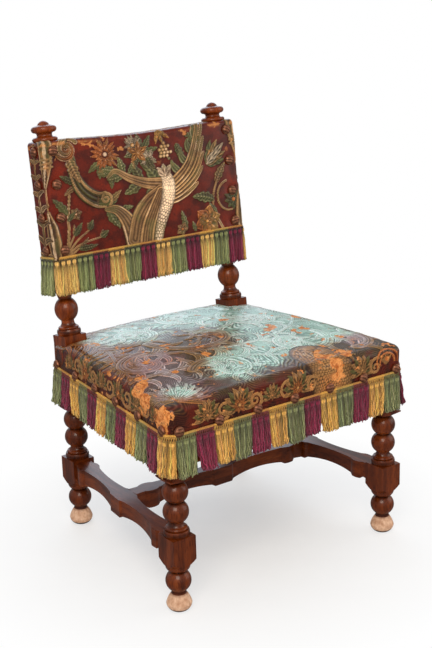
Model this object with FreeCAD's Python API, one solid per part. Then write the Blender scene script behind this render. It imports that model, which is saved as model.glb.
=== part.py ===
"""Child's side chair with turned legs, shaped H stretcher, nailed leather covers and tassel fringe."""
import FreeCAD
import Part
import math
import os

# Driving dimensions, in millimetres
# Plan of the frame: leg axes and the square stock that legs and posts are turned from
stock = 37.0
front_spacing = 383.4
rear_spacing = 309.8
leg_depth = 326.0

# Bare feet, spliced on with a round spigot
foot_height = 25.0
foot_base_radius = 11.0
foot_bulge_radius = 18.0
foot_bulge_height = 10.5
ankle_radius = 10.8
spigot_radius = 5.5
spigot_length = 14.0

# Turnings, from the foot upwards; a ball runs from one groove to the next
ankle_height = 4.5
ball_radius = 18.0
ball_height = 29.0
groove_radius = 9.8
cup_height = 19.0
cup_lip_height = 11.0
cup_lip_radius = 17.6
block_height = 34.5
block_shoulder = 3.0
block_rim_radius = 22.5
ring_radius = 18.3
ring_foot_radius = 17.2
ring_height = 8.5
bead_radius = 15.6
bead_foot_radius = 14.4
bead_height = 4.0
cove_height = 7.0
cove_waist_radius = 10.6
throat_height = 8.0

# Raked upper posts, measured along the post
seat_block_top = 313.0
bend_height = 300.0
rake_angle = 7.2
neck_height = 3.0
post_ball_height = 33.0
post_throat_height = 23.5
post_top = 604.0

# Finials, each on a round tenon
finial_collar_radius = 19.0
finial_collar_top_radius = 15.6
finial_collar_height = 6.0
finial_lip_radius = 18.0
finial_waist_radius = 11.4
finial_neck_radius = 14.0
finial_neck_height = 6.5
finial_bun_radius = 19.0
finial_bun_height = 10.0
finial_button_foot_radius = 9.0
finial_button_foot_height = 1.5
finial_button_radius = 7.0
finial_button_height = 6.0
tip_radius = 0.8
finial_tenon_radius = 6.0
finial_tenon_length = 22.0

# Seat rails and their tenons
rail_top = 274.0
rail_height = 58.0
rail_thickness = 22.0
tenon_thickness = 10.0
tenon_length = 12.0
tenon_shoulder = 8.0

# Shaped stretchers, the same profile underneath and on both sides
stretcher_top = 108.5
stretcher_height = 27.5
stretcher_half_width = 15.0
cross_half_width = 13.0
stretcher_step = 2.6
stretcher_waist_cut = 6.4
stretcher_scallop = 1.8
stretcher_tenon_thickness = 11.0
stretcher_tenon_height = 15.0
stretcher_pad_share = 0.10
stretcher_fillet_share = 0.13
stretcher_waist_share = 0.43
stretcher_cusp_share = 0.735
stretcher_bead_share = 0.765
stretcher_heel_share = 0.875
stretcher_end_share = 0.90

# Back rails, tenoned between the raked posts
back_top_rail_height = 36.0
back_low_rail_height = 30.0
back_low_rail_base = 432.0
back_sag = 4.0

# Seat upholstery
leather_thickness = 1.8
seat_corner_radius = 12.0
seat_wrap_radius = 1.0
seat_crown_top = 318.0
seat_crown_rise = 20.0
seat_edge_radius = 11.0
seat_flap_top = 291.0
hessian_thickness = 0.8
hessian_margin = 3.0
webbing_width = 36.0
webbing_thickness = 1.6
webbing_lap = 17.0
webbing_length_count = 4
webbing_cross_count = 3
webbing_length_pitch = 70.0
webbing_cross_pitch = 84.0

# Back upholstery, measured along the raked posts
back_padding = 6.4
back_corner_radius = 5.0
outside_panel_thickness = 1.5
outside_panel_margin = 7.0

# Fringe: a braid heading with tassels hanging from it
seat_heading_height = 11.0
back_heading_height = 7.0
heading_thickness = 2.4
seat_heading_base = 254.0
back_heading_base = 428.5
seat_tassel_pitch = 10.3
back_tassel_pitch = 9.5
seat_tassel_length = 50.0
back_tassel_length = 52.0
tassel_head_share = 0.36
tassel_neck_share = 0.27
tassel_skirt_share = 0.46
tassel_hem_share = 0.40
tassel_depth_share = 0.6
tassel_level_shares = (0.0, 0.10, 0.17, 0.55, 1.0)
tassel_sides = 6
tassels_per_colour = 3
tassel_colours = ("green", "purple", "gold")

# Domed nails with square-shouldered shanks
nail_radius = 7.75
nail_rim = 0.8
nail_dome = 4.8
nail_brow_share = 0.74
nail_brow_rise_share = 0.7
nail_shank_radius = 1.1
nail_shank_length = 15.0
seat_nail_rise = 2.0
seat_front_nail_count = 7
seat_side_nail_count = 6
seat_rear_nail_count = 5
seat_nail_inset = 14.5
seat_side_nail_end = 6.0
back_nail_inset = 16.0
back_nail_count = 4
back_nail_drop = 13.0
tack_radius = 4.0
tack_dome = 2.2
tack_shank_length = 9.0
tack_count = 5
tack_margin = 9.0

# Clearances
joint_clearance = 0.1
mortise_end_gap = 1.0
soft_clearance = 0.3
overrun = 5.0

# Derived places
half_stock = stock / 2
back_rail_thickness = stock
front_axis = -leg_depth / 2
rear_axis = leg_depth / 2
front_half = front_spacing / 2
rear_half = rear_spacing / 2
frame_front = front_axis - half_stock
frame_rear = rear_axis + half_stock
frame_front_half = front_half + half_stock
frame_rear_half = rear_half + half_stock
side_slope = (frame_front_half - frame_rear_half) / (frame_rear - frame_front)
side_angle = math.degrees(math.atan(side_slope))
rail_base = rail_top - rail_height
ankle_top = foot_height + ankle_height
low_ball_top = ankle_top + ball_height
block_base = low_ball_top + cup_height
block_top = block_base + block_height
leg_ball_base = block_top + ring_height + bead_height + cove_height
leg_ball_top = leg_ball_base + ball_height + ball_height
seat_block_base = leg_ball_top + throat_height
seat_rebate_base = seat_block_base
back_block_base = (seat_block_top + ring_height + bead_height + cove_height + neck_height
                   + post_ball_height + post_throat_height)
blank_radius = stock
post_front = rear_axis - half_stock
post_rear = rear_axis + half_stock
cover_gap = soft_clearance
seat_skin = cover_gap + leather_thickness
seat_reach = math.hypot((frame_front_half + frame_rear_half) / 2, (frame_rear - frame_front) / 2)
seat_dome_radius = (seat_reach ** 2 + seat_crown_rise ** 2) / (2 * seat_crown_rise)
leather_edge = seat_heading_base
back_edge = back_heading_base
seat_heading_top = seat_heading_base + seat_heading_height
seat_nail_height = seat_heading_top + seat_nail_rise
back_nail_low = back_heading_base + back_heading_height + nail_radius + soft_clearance
back_nail_high = post_top - back_nail_drop
webbing_level = rail_top + webbing_thickness / 2
hessian_base = webbing_level + webbing_thickness + webbing_thickness / 2 + soft_clearance / 2
stuffing_base = hessian_base + hessian_thickness + soft_clearance / 2
back_face = post_front - back_padding - soft_clearance
back_skin_face = back_face - leather_thickness
back_half = frame_rear_half + cover_gap
back_skin_half = back_half + leather_thickness
back_cover_top = post_top + cover_gap + leather_thickness
stretcher_base = stretcher_top - stretcher_height

sides = {"left": -1, "right": 1}
parts = {}


def at(x, y, z):
    return FreeCAD.Vector(x, y, z)


def box(x0, x1, y0, y1, z0, z1):
    """Box between two corners given axis by axis, in either order."""
    low = at(min(x0, x1), min(y0, y1), min(z0, z1))
    return Part.makeBox(abs(x1 - x0), abs(y1 - y0), abs(z1 - z0), low)


def line(a, b):
    return Part.LineSegment(a, b).toShape()


def arc(a, b, c):
    return Part.Arc(a, b, c).toShape()


def rake(shape):
    """Leans a shape back with the posts, about the bend in the seat blocks."""
    leaned = shape.copy()
    leaned.rotate(at(0, rear_axis, bend_height), at(1, 0, 0), -rake_angle)
    return leaned


class Turning:
    """Half outline of a turning, drawn upwards as radius and height, then spun about its axis."""

    def __init__(self, height):
        self.edges = []
        self.start = at(0, 0, height)
        self.point = self.start

    def to(self, radius, height):
        end = at(radius, 0, height)
        self.edges.append(line(self.point, end))
        self.point = end
        return self

    def curve(self, middle_radius, radius, height, middle_height=None):
        """Arc to a new point by way of a middle radius: a bead if wider, a cove if narrower."""
        if middle_height is None:
            middle_height = (self.point.z + height) / 2
        end = at(radius, 0, height)
        self.edges.append(arc(self.point, at(middle_radius, 0, middle_height), end))
        self.point = end
        return self

    def spin(self, x=0, y=0):
        end = at(0, 0, self.point.z)
        edges = self.edges + [line(self.point, end), line(end, self.start)]
        face = Part.Face(Part.Wire(edges))
        solid = face.revolve(at(0, 0, 0), at(0, 0, 1), 360)
        solid.translate(at(x, y, 0))
        return solid


def ring_and_cove(turning, base):
    """Ring, small bead and cove that rise from the top of every square block."""
    ring_top = base + ring_height
    bead_top = ring_top + bead_height
    turning.to(ring_foot_radius, base)
    turning.curve(ring_radius, ring_foot_radius, ring_top)
    turning.to(bead_foot_radius, ring_top)
    turning.curve(bead_radius, bead_foot_radius, bead_top)
    turning.curve(cove_waist_radius, groove_radius, bead_top + cove_height, bead_top + cove_height / 2)


def lower_leg(turning):
    """Turning from the foot joint to the start of the seat block, shared by legs and posts."""
    turning.to(spigot_radius, foot_height - spigot_length)
    turning.to(spigot_radius, foot_height)
    turning.to(ankle_radius, foot_height)
    turning.to(groove_radius, ankle_top)
    turning.curve(ball_radius, groove_radius, low_ball_top)
    turning.curve((groove_radius + cup_lip_radius) / 2 + block_shoulder, cup_lip_radius,
                  low_ball_top + cup_lip_height, low_ball_top + cup_lip_height / 2)
    turning.to(cup_lip_radius + block_shoulder / 2, low_ball_top + cup_lip_height)
    turning.to(blank_radius, block_base + blank_radius - half_stock * math.sqrt(2))
    turning.to(blank_radius, block_top - block_shoulder)
    turning.curve((blank_radius + block_rim_radius) / 2, block_rim_radius, block_top,
                  block_top - block_shoulder / 4)
    ring_and_cove(turning, block_top)
    turning.curve(ball_radius, groove_radius, leg_ball_base + ball_height)
    turning.curve(ball_radius, groove_radius, leg_ball_top)
    turning.curve((groove_radius + half_stock) / 2, half_stock, seat_block_base - block_shoulder,
                  leg_ball_top + throat_height / 4)
    turning.to(blank_radius, seat_block_base)


def square_blank(x, y, base, top):
    return box(x - half_stock, x + half_stock, y - half_stock, y + half_stock, base, top)


def rounded_outline(corners, radii, height):
    """Closed wire through plan corners, each rounded by its own radius."""
    edges = []
    ends = []
    count = len(corners)
    for i, corner in enumerate(corners):
        here = at(corner[0], corner[1], height)
        before = at(*corners[i - 1], height).sub(here).normalize()
        after = at(*corners[(i + 1) % count], height).sub(here).normalize()
        half_turn = before.getAngle(after) / 2
        reach = radii[i] / math.tan(half_turn)
        middle = before.add(after).normalize()
        nearest = radii[i] / math.sin(half_turn) - radii[i]
        ends.append((here + before * reach, here + middle * nearest, here + after * reach))
    for i, (enter, middle, leave) in enumerate(ends):
        edges.append(arc(enter, middle, leave))
        edges.append(line(leave, ends[(i + 1) % count][0]))
    return Part.Wire(edges)


def seat_half(y, offset=0):
    """Half width of the seat frame at a depth, with its side lines moved outwards."""
    straight = frame_front_half - side_slope * (y - frame_front)
    return straight + offset / math.cos(math.radians(side_angle))


def seat_outline(offset, height, front_radius, rear_radius):
    """Seat plan moved outwards by an offset, front corners first."""
    front = frame_front - offset
    rear = frame_rear + offset
    corners = [(-seat_half(front, offset), front), (seat_half(front, offset), front),
               (seat_half(rear, offset), rear), (-seat_half(rear, offset), rear)]
    return rounded_outline(corners, [front_radius, front_radius, rear_radius, rear_radius], height)


def seat_prism(offset, base, top, front_radius, rear_radius):
    face = Part.Face(seat_outline(offset, base, front_radius, rear_radius))
    return face.extrude(at(0, 0, top - base))


def post_corners(clearance, base, top):
    """Rear corners of the seat, cut out whole where the posts pass through."""
    reach = frame_front_half + stock
    near = rear_half - half_stock - clearance
    return [box(side * near, side * reach, post_front - clearance, frame_rear + stock, base, top)
            for side in sides.values()]


def crowned_seat(offset, base, top, edge_radius, clearance):
    """Seat block with upright sides, a domed top, an eased upper edge and room for the posts."""
    block = seat_prism(offset, base, top + overrun, seat_corner_radius + offset, seat_wrap_radius + offset)
    dome = Part.makeSphere(seat_dome_radius)
    dome.rotate(at(0, 0, 0), at(0, 1, 0), 90)
    dome.translate(at(0, 0, top - seat_dome_radius))
    block = cut_all(block.common(dome), post_corners(clearance, base - overrun, top + overrun))
    crown = next(f for f in block.Faces if isinstance(f.Surface, Part.Sphere))
    return block.makeFillet(edge_radius, [e for e in crown.Edges if on_outline(e, clearance)])


def on_outline(edge, clearance):
    """Whether an edge of the crown runs along the seat's outline and not round a post."""
    middle = edge.valueAt((edge.FirstParameter + edge.LastParameter) / 2)
    beside = abs(abs(middle.x) - (rear_half - half_stock - clearance)) < joint_clearance
    before = abs(middle.y - (post_front - clearance)) < joint_clearance
    return not beside and not before


def post_flaps():
    """Leather that runs on round the outside of the posts, up to its own top edge."""
    band = seat_prism(seat_skin, leather_edge, seat_flap_top, seat_corner_radius + seat_skin,
                      seat_wrap_radius + seat_skin)
    low = leather_edge - overrun
    high = seat_flap_top + overrun
    hollow = seat_prism(cover_gap, low, high, seat_corner_radius + cover_gap, seat_wrap_radius + cover_gap)
    walls = band.cut(hollow)
    return [walls.common(corner) for corner in post_corners(cover_gap, low, high)]


def cut_all(shape, tools):
    for tool in tools:
        shape = shape.cut(tool)
    return shape


# Feet
def make_foot(x, y):
    foot = Turning(0)
    foot.to(foot_base_radius, 0)
    foot.curve(foot_bulge_radius * 0.5 + foot_base_radius * 0.5, foot_bulge_radius, foot_bulge_height,
               foot_bulge_height / 4)
    foot.curve((foot_bulge_radius + ankle_radius) / 2, ankle_radius, foot_height,
               foot_height - foot_bulge_height / 2)
    socket = Turning(foot_height - spigot_length - mortise_end_gap)
    socket.to(spigot_radius + joint_clearance, foot_height - spigot_length - mortise_end_gap)
    socket.to(spigot_radius + joint_clearance, foot_height + overrun)
    return foot.spin(x, y).cut(socket.spin(x, y))


# Stretchers
def shaped_edge(half_length, depth, direction, sign):
    """Edge of a stretcher from one end to the other: pad, waist, bead and heel on each half.

    direction turns a length along the stretcher and a depth into a point; sign picks the side."""
    cut = stretcher_waist_cut
    stations = [(stretcher_pad_share, 0), (stretcher_fillet_share, stretcher_step)]
    tail = [(stretcher_cusp_share, stretcher_step), (stretcher_bead_share, 0),
            (stretcher_heel_share, 0), (stretcher_end_share, stretcher_step)]

    def spot(share, inward, end):
        return direction(end * share * half_length, sign * (depth - inward))

    def half(end):
        pad, fillet = (spot(*s, end) for s in stations)
        cusp, bead, heel, toe = (spot(*s, end) for s in tail)
        waist = spot(stretcher_waist_share, cut, end)
        swell = spot((stretcher_bead_share + stretcher_heel_share) / 2, -stretcher_scallop, end)
        return [line(pad, fillet), arc(fillet, waist, cusp), line(cusp, bead), arc(bead, swell, heel),
                line(heel, toe), line(toe, spot(1, stretcher_step / 2, end))]

    near = half(-1)
    near.reverse()
    pad = line(spot(stretcher_pad_share, 0, -1), spot(stretcher_pad_share, 0, 1))
    return near + [pad] + half(1)


def ends_of(edges):
    """First and last point of a run of edges that was drawn from one end to the other."""
    first = edges[0].Vertexes
    last = edges[-1].Vertexes
    low = min(first, key=lambda v: v.Point.x)
    high = max(last, key=lambda v: v.Point.x)
    return low.Point, high.Point


def make_stretcher(half_length, half_width):
    """Stretcher along X about the origin: shaped plan met by a shaped underside."""
    rear = shaped_edge(half_length, half_width, lambda s, d: at(s, d, stretcher_base), 1)
    front = shaped_edge(half_length, half_width, lambda s, d: at(s, d, stretcher_base), -1)
    rear_low, rear_high = ends_of(rear)
    front_low, front_high = ends_of(front)
    ends = [line(rear_low, front_low), line(rear_high, front_high)]
    plan = Part.Wire(Part.__sortEdges__(rear + front + ends))
    board = Part.Face(plan).extrude(at(0, 0, stretcher_height))
    middle = (stretcher_top + stretcher_base) / 2
    under = shaped_edge(half_length, stretcher_height / 2,
                        lambda s, d: at(s, -half_width * 2, middle + d), -1)
    low, high = ends_of(under)
    top_low = at(low.x, low.y, stretcher_top)
    top_high = at(high.x, high.y, stretcher_top)
    upper = [line(low, top_low), line(top_low, top_high), line(top_high, high)]
    side = Part.Wire(Part.__sortEdges__(under + upper))
    profile = Part.Face(side).extrude(at(0, half_width * 4, 0))
    return board.common(profile)


def stretcher_tenon(x0, x1, y, clearance, depth):
    """Tenon along X, between its shoulder and its end, with room added for the mortise."""
    middle = (stretcher_top + stretcher_base) / 2
    half_thick = stretcher_tenon_thickness / 2 + clearance
    half_high = stretcher_tenon_height / 2 + clearance
    return box(x0, x1 + depth, y - half_thick, y + half_thick, middle - half_high, middle + half_high)


def rail_tenon(x0, x1, y0, y1, clearance):
    return box(x0, x1, y0, y1, rail_base + tenon_shoulder - clearance, rail_top - tenon_shoulder + clearance)


side_run = post_front - (front_axis + half_stock)
side_reach = side_run / 2
stretcher_slope = (front_half - rear_half) / leg_depth
stretcher_turn = math.degrees(math.atan(stretcher_slope))
stretcher_middle = (front_half + rear_half) / 2
cross_reach = stretcher_middle - stretcher_half_width


def stretcher_centre(y):
    """Half distance between the two side stretchers at a depth."""
    return stretcher_middle - stretcher_slope * y


def make_side_stretcher(side):
    """Side stretcher from leg to post, its ends cut square to the blocks and tenoned into them."""
    long_half = (side_reach + overrun) / math.cos(math.radians(stretcher_turn))
    board = make_stretcher(long_half, stretcher_half_width)
    board.rotate(at(0, 0, 0), at(0, 0, 1), 90 + side * stretcher_turn)
    board.translate(at(side * stretcher_middle, 0, 0))
    reach = stretcher_middle + stretcher_half_width * 2
    board = board.common(box(-reach, reach, -side_reach, side_reach,
                             stretcher_base - overrun, stretcher_top + overrun))
    for end in (-1, 1):
        board = board.fuse(side_tenon(side, end, 0, 0))
    mortise = stretcher_tenon(cross_reach, cross_reach + tenon_length, 0, joint_clearance, mortise_end_gap)
    if side < 0:
        mortise = mortise.mirror(at(0, 0, 0), at(1, 0, 0))
    return board.removeSplitter().cut(mortise)


def side_tenon(side, end, clearance, depth):
    """Tenon of a side stretcher at its front (-1) or rear (1) end, or the mortise that takes it."""
    middle = (stretcher_top + stretcher_base) / 2
    x = side * stretcher_centre(end * side_reach)
    half_thick = stretcher_tenon_thickness / 2 + clearance
    half_high = stretcher_tenon_height / 2 + clearance
    return box(x - half_thick, x + half_thick, end * side_reach, end * (side_reach + tenon_length + depth),
               middle - half_high, middle + half_high)


def make_cross_stretcher():
    bar = make_stretcher(cross_reach, cross_half_width)
    for side in sides.values():
        tenon = stretcher_tenon(cross_reach, cross_reach + tenon_length, 0, 0, 0)
        if side < 0:
            tenon = tenon.mirror(at(0, 0, 0), at(1, 0, 0))
        bar = bar.fuse(tenon)
    return bar.removeSplitter()


# Seat rails
def cross_rail_tenon(side, leg_half, outer_face, inward, clearance, depth):
    """Tenon of the front or rear rail into one leg; inward is the sign from its face to the seat."""
    near = leg_half - half_stock
    middle = outer_face + inward * rail_thickness / 2
    half_thick = tenon_thickness / 2 + clearance
    return rail_tenon(side * near, side * (near + tenon_length + depth), middle - half_thick,
                      middle + half_thick, clearance)


def make_cross_rail(leg_half, outer_face, inward):
    near = leg_half - half_stock
    rail = box(-near, near, outer_face, outer_face + inward * rail_thickness, rail_base, rail_top)
    for side in sides.values():
        rail = rail.fuse(cross_rail_tenon(side, leg_half, outer_face, inward, 0, 0))
    return rail.removeSplitter()


def side_rail_tenon(side, end, clearance, depth):
    x = seat_half(end * side_reach) - rail_thickness / 2
    half_thick = tenon_thickness / 2 + clearance
    return rail_tenon(side * (x - half_thick), side * (x + half_thick), end * side_reach,
                      end * (side_reach + tenon_length + depth), clearance)


def make_side_rail(side):
    width = rail_thickness / math.cos(math.radians(side_angle))
    front, rear = seat_half(-side_reach), seat_half(side_reach)
    plan = [at(side * front, -side_reach, rail_base), at(side * rear, side_reach, rail_base),
            at(side * (rear - width), side_reach, rail_base),
            at(side * (front - width), -side_reach, rail_base)]
    rail = Part.Face(Part.makePolygon(plan + plan[:1])).extrude(at(0, 0, rail_height))
    for end in (-1, 1):
        rail = rail.fuse(side_rail_tenon(side, end, 0, 0))
    return rail.removeSplitter()


# Back rails, built upright and then raked
def sagging_edge(y, top, sag):
    """Level line between the posts, from right to left, that dips smoothly by the sag."""
    near = rear_half - half_stock
    if not sag:
        return [line(at(near, y, top), at(-near, y, top))]
    radius = (near ** 2 + sag ** 2) / (4 * sag)
    slack = radius - math.sqrt(radius ** 2 - (near / 4) ** 2)
    heights = [top, top - slack, top - sag / 2, top - sag + slack, top - sag]
    heights += heights[-2::-1]
    points = [at(near - near * i / 4, y, z) for i, z in enumerate(heights)]
    return [arc(*points[i:i + 3]) for i in range(0, len(points) - 2, 2)]


def back_rail_tenon(side, base, top, clearance, depth):
    near = rear_half - half_stock
    middle = post_front + back_rail_thickness / 2
    half_thick = tenon_thickness / 2 + clearance
    inset = tenon_shoulder - clearance
    return box(side * near, side * (near + tenon_length + depth), middle - half_thick, middle + half_thick,
               base + inset, top - inset)


back_top_rail_base = post_top - back_top_rail_height
back_low_rail_top = back_low_rail_base + back_low_rail_height


def make_back_rail(base, top, sag):
    """Back rail between the posts, its upper edge hollowed by the sag."""
    near = rear_half - half_stock
    edges = [line(at(-near, post_front, base), at(near, post_front, base)),
             line(at(near, post_front, base), at(near, post_front, top)), *sagging_edge(post_front, top, sag),
             line(at(-near, post_front, top), at(-near, post_front, base))]
    rail = Part.Face(Part.Wire(edges)).extrude(at(0, back_rail_thickness, 0))
    for side in sides.values():
        rail = rail.fuse(back_rail_tenon(side, base, top, 0, 0))
    return rail.removeSplitter()


# Legs and posts
def leg_mortises(side, end):
    """Mortises of one leg: stretcher, side rail and front or rear rail."""
    leg_half = front_half if end < 0 else rear_half
    outer_face = frame_front if end < 0 else frame_rear
    return [side_tenon(side, end, joint_clearance, mortise_end_gap),
            side_rail_tenon(side, end, joint_clearance, mortise_end_gap),
            cross_rail_tenon(side, leg_half, outer_face, -end, joint_clearance, mortise_end_gap)]


def make_leg(side):
    """Front leg, its seat block planed to the rounded outline of the seat under the leather."""
    x = side * front_half
    turning = Turning(foot_height - spigot_length)
    lower_leg(turning)
    turning.to(blank_radius, rail_top)
    leg = turning.spin(x, front_axis).common(square_blank(x, front_axis, 0, rail_top))
    waste = box(x - stock, x + stock, front_axis - stock, front_axis + stock,
                seat_rebate_base, rail_top + overrun)
    waste = waste.cut(seat_prism(0, seat_rebate_base - overrun, rail_top + overrun * 2, seat_corner_radius,
                                 seat_wrap_radius))
    leg = leg.cut(waste)
    for mortise in leg_mortises(side, -1):
        leg = leg.cut(mortise)
    return leg


def make_post(side):
    """Rear leg and raked back post in one piece, bent in the seat block."""
    x = side * rear_half
    leg_turning = Turning(foot_height - spigot_length)
    lower_leg(leg_turning)
    leg_turning.to(blank_radius, bend_height)
    leg = leg_turning.spin(x, rear_axis).common(square_blank(x, rear_axis, 0, bend_height))
    upper = Turning(bend_height - overrun)
    upper.to(blank_radius, bend_height - overrun)
    upper.to(blank_radius, seat_block_top - block_shoulder)
    upper.curve((blank_radius + block_rim_radius) / 2, block_rim_radius, seat_block_top,
                seat_block_top - block_shoulder / 4)
    ring_and_cove(upper, seat_block_top)
    ball_base = upper.point.z + neck_height
    upper.to(groove_radius, ball_base)
    upper.to(cove_waist_radius, ball_base)
    upper.curve(ball_radius, groove_radius, ball_base + post_ball_height)
    upper.curve((groove_radius + half_stock) / 2, half_stock, back_block_base - block_shoulder,
                back_block_base - post_throat_height / 2)
    upper.to(blank_radius, back_block_base)
    upper.to(blank_radius, post_top)
    post = upper.spin(x, rear_axis).common(square_blank(x, rear_axis, bend_height - overrun, post_top))
    for base, top in ((back_top_rail_base, post_top), (back_low_rail_base, back_low_rail_top)):
        post = post.cut(back_rail_tenon(side, base, top, joint_clearance, mortise_end_gap))
    bore = Part.makeCylinder(finial_tenon_radius + joint_clearance, finial_tenon_length + overrun,
                             at(x, rear_axis, post_top - finial_tenon_length))
    leg = leg.fuse(rake(post.cut(bore))).removeSplitter()
    for mortise in leg_mortises(side, 1):
        leg = leg.cut(mortise)
    return leg


def make_finial(side):
    """Mushroom finial on its tenon: collar, waisted neck, round bun and a domed button."""
    base = back_cover_top
    collar_top = base + finial_collar_height
    neck_top = collar_top + finial_neck_height
    bun_top = neck_top + finial_bun_height
    button_foot = bun_top + finial_button_foot_height
    tenon_end = base - finial_tenon_length + mortise_end_gap
    finial = Turning(tenon_end)
    finial.to(finial_tenon_radius, tenon_end)
    finial.to(finial_tenon_radius, base)
    finial.to(finial_lip_radius, base)
    finial.curve(finial_collar_radius, finial_collar_top_radius, collar_top, base + finial_collar_height / 3)
    finial.curve(finial_waist_radius, finial_neck_radius, neck_top)
    finial.curve(finial_bun_radius, finial_neck_radius, bun_top)
    finial.to(finial_button_foot_radius, button_foot)
    finial.curve(finial_button_radius, tip_radius, button_foot + finial_button_height)
    return rake(finial.spin(side * rear_half, rear_axis))


# Seat webbing, woven over and under
def woven_strip(length, laps, crossings):
    """Strip along X from its middle: level on its laps, then over and under at each crossing."""
    half_thick = webbing_thickness / 2

    def run(level):
        inner = length / 2 - laps
        points = [at(x, 0, level + rise) for x, rise in crossings]
        points = [at(-inner, 0, level)] + points + [at(inner, 0, level)]
        wave = Part.BSplineCurve()
        wave.interpolate(Points=points, InitialTangent=at(1, 0, 0), FinalTangent=at(1, 0, 0))
        return [line(at(-length / 2, 0, level), points[0]), wave.toShape(),
                line(points[-1], at(length / 2, 0, level))]

    top = run(half_thick)
    bottom = run(-half_thick)
    ends = [line(at(x, 0, -half_thick), at(x, 0, half_thick)) for x in (-length / 2, length / 2)]
    face = Part.Face(Part.Wire(Part.__sortEdges__(top + bottom + ends)))
    strip = face.extrude(at(0, webbing_width, 0))
    strip.translate(at(0, -webbing_width / 2, webbing_level))
    return strip


def spread(count, pitch):
    return [(i - (count - 1) / 2) * pitch for i in range(count)]


def make_webbing():
    along = spread(webbing_length_count, webbing_length_pitch)
    across = spread(webbing_cross_count, webbing_cross_pitch)
    length = frame_rear - frame_front - (rail_thickness - webbing_lap) * 2
    for i, x in enumerate(along):
        crossings = [(y, webbing_thickness * (-1) ** (i + j)) for j, y in enumerate(across)]
        strip = woven_strip(length, webbing_lap, crossings)
        strip.rotate(at(0, 0, 0), at(0, 0, 1), 90)
        strip.translate(at(x, (frame_front + frame_rear) / 2, 0))
        parts[f"webbing_lengthwise_{i + 1}"] = strip
    for j, y in enumerate(across):
        crossings = [(x, -webbing_thickness * (-1) ** (i + j)) for i, x in enumerate(along)]
        reach = seat_half(y + webbing_width / 2) - (rail_thickness - webbing_lap)
        strip = woven_strip(reach * 2, webbing_lap, crossings)
        strip.translate(at(0, y, 0))
        parts[f"webbing_crosswise_{j + 1}"] = strip


# Nails
def nail(radius, dome, shank_length):
    """Domed nail at the origin, its head above XY and its shank below."""
    head = Turning(-shank_length)
    head.to(nail_shank_radius, -shank_length)
    head.to(nail_shank_radius, 0)
    head.to(radius, 0)
    head.to(radius, nail_rim)
    head.curve(radius * nail_brow_share, tip_radius, nail_rim + dome, nail_rim + dome * nail_brow_rise_share)
    return head.spin()


def nail_at(shape, place, outward):
    """Copy of a nail with its head facing outwards at a place on a surface."""
    turn = FreeCAD.Rotation(at(0, 0, 1), outward)
    placed = shape.copy()
    placed.Placement = FreeCAD.Placement(place, turn)
    return placed


big_nail = nail(nail_radius, nail_dome, nail_shank_length)
small_tack = nail(tack_radius, tack_dome, tack_shank_length)


def steps(first, last, count):
    return [first + (last - first) * i / (count - 1) for i in range(count)]


def seat_nails():
    """Nail places round the seat, each with the way it faces, by side."""
    skin_front = frame_front - seat_skin
    skin_rear = frame_rear + seat_skin
    reach = seat_half(frame_front) - seat_nail_inset
    places = {"front": [(at(x, skin_front, seat_nail_height), at(0, -1, 0))
                        for x in steps(-reach, reach, seat_front_nail_count)]}
    rear_reach = rear_half - half_stock - seat_nail_inset
    places["rear"] = [(at(x, skin_rear, seat_nail_height), at(0, 1, 0))
                      for x in steps(-rear_reach, rear_reach, seat_rear_nail_count)]
    slant = math.radians(side_angle)
    for name, side in sides.items():
        run = steps(frame_front + seat_nail_inset, rear_axis + seat_side_nail_end, seat_side_nail_count)
        places[name] = [(at(side * seat_half(y, seat_skin), y, seat_nail_height),
                         at(side * math.cos(slant), math.sin(slant), 0)) for y in run]
    return places


def back_nails():
    """Nail places on the upright back, two columns on each side: on the face and round the edge."""
    heights = steps(back_nail_low, back_nail_high, back_nail_count)
    places = {}
    for name, side in sides.items():
        x = side * (back_skin_half - back_nail_inset)
        face = [(at(x, back_skin_face, z), at(0, -1, 0)) for z in heights]
        edge = [(at(side * back_skin_half, rear_axis, z), at(side, 0, 0)) for z in heights]
        places[f"{name}_face"] = face
        places[f"{name}_edge"] = edge
    return places


def panel_tacks():
    """Tack places on the outside panel, along both posts."""
    y = post_rear + outside_panel_thickness
    x = frame_rear_half - outside_panel_margin - tack_margin
    low = back_edge + outside_panel_margin + tack_margin
    high = post_top - outside_panel_margin - tack_margin
    heights = steps(low, high, tack_count)
    return [(at(side * x, y, z), at(0, 1, 0)) for side in sides.values() for z in heights]


def placed_nails(shape, places):
    return Part.makeCompound([nail_at(shape, place, outward) for place, outward in places])


def nail_holes(places, shank_length):
    """Round holes that the shanks sit in, through everything under the heads."""
    radius = nail_shank_radius + joint_clearance / 2
    depth = shank_length + joint_clearance
    return [Part.makeCylinder(radius, depth, place, outward * -1) for place, outward in places]


def nail_seats(places):
    """Round gaps in the heading that leave room for the nail heads."""
    return [Part.makeCylinder(nail_radius + soft_clearance, heading_thickness * 2, place - outward, outward)
            for place, outward in places]


# Fringe
def tassel(pitch, length):
    """Tassel that hangs from the origin: round head, tied neck and a skirt of yarn."""
    width_shares = (tassel_neck_share, tassel_head_share, tassel_neck_share, tassel_skirt_share,
                    tassel_hem_share)
    rings = []
    for level, width in zip(tassel_level_shares, width_shares):
        points = []
        for k in range(tassel_sides):
            turn = 2 * math.pi * k / tassel_sides
            points.append(at(pitch * width * math.cos(turn),
                             pitch * width * tassel_depth_share * math.sin(turn), -length * level))
        rings.append(Part.makePolygon(points + points[:1]))
    return Part.makeLoft(rings, True, True)


def straight_run(start, end):
    """Path that gives a place and a heading angle for each length along a straight edge."""
    angle = math.atan2(end[1] - start[1], end[0] - start[0])

    def place(length):
        return start[0] + length * math.cos(angle), start[1] + length * math.sin(angle), angle

    return math.dist(start, end), place


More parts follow.
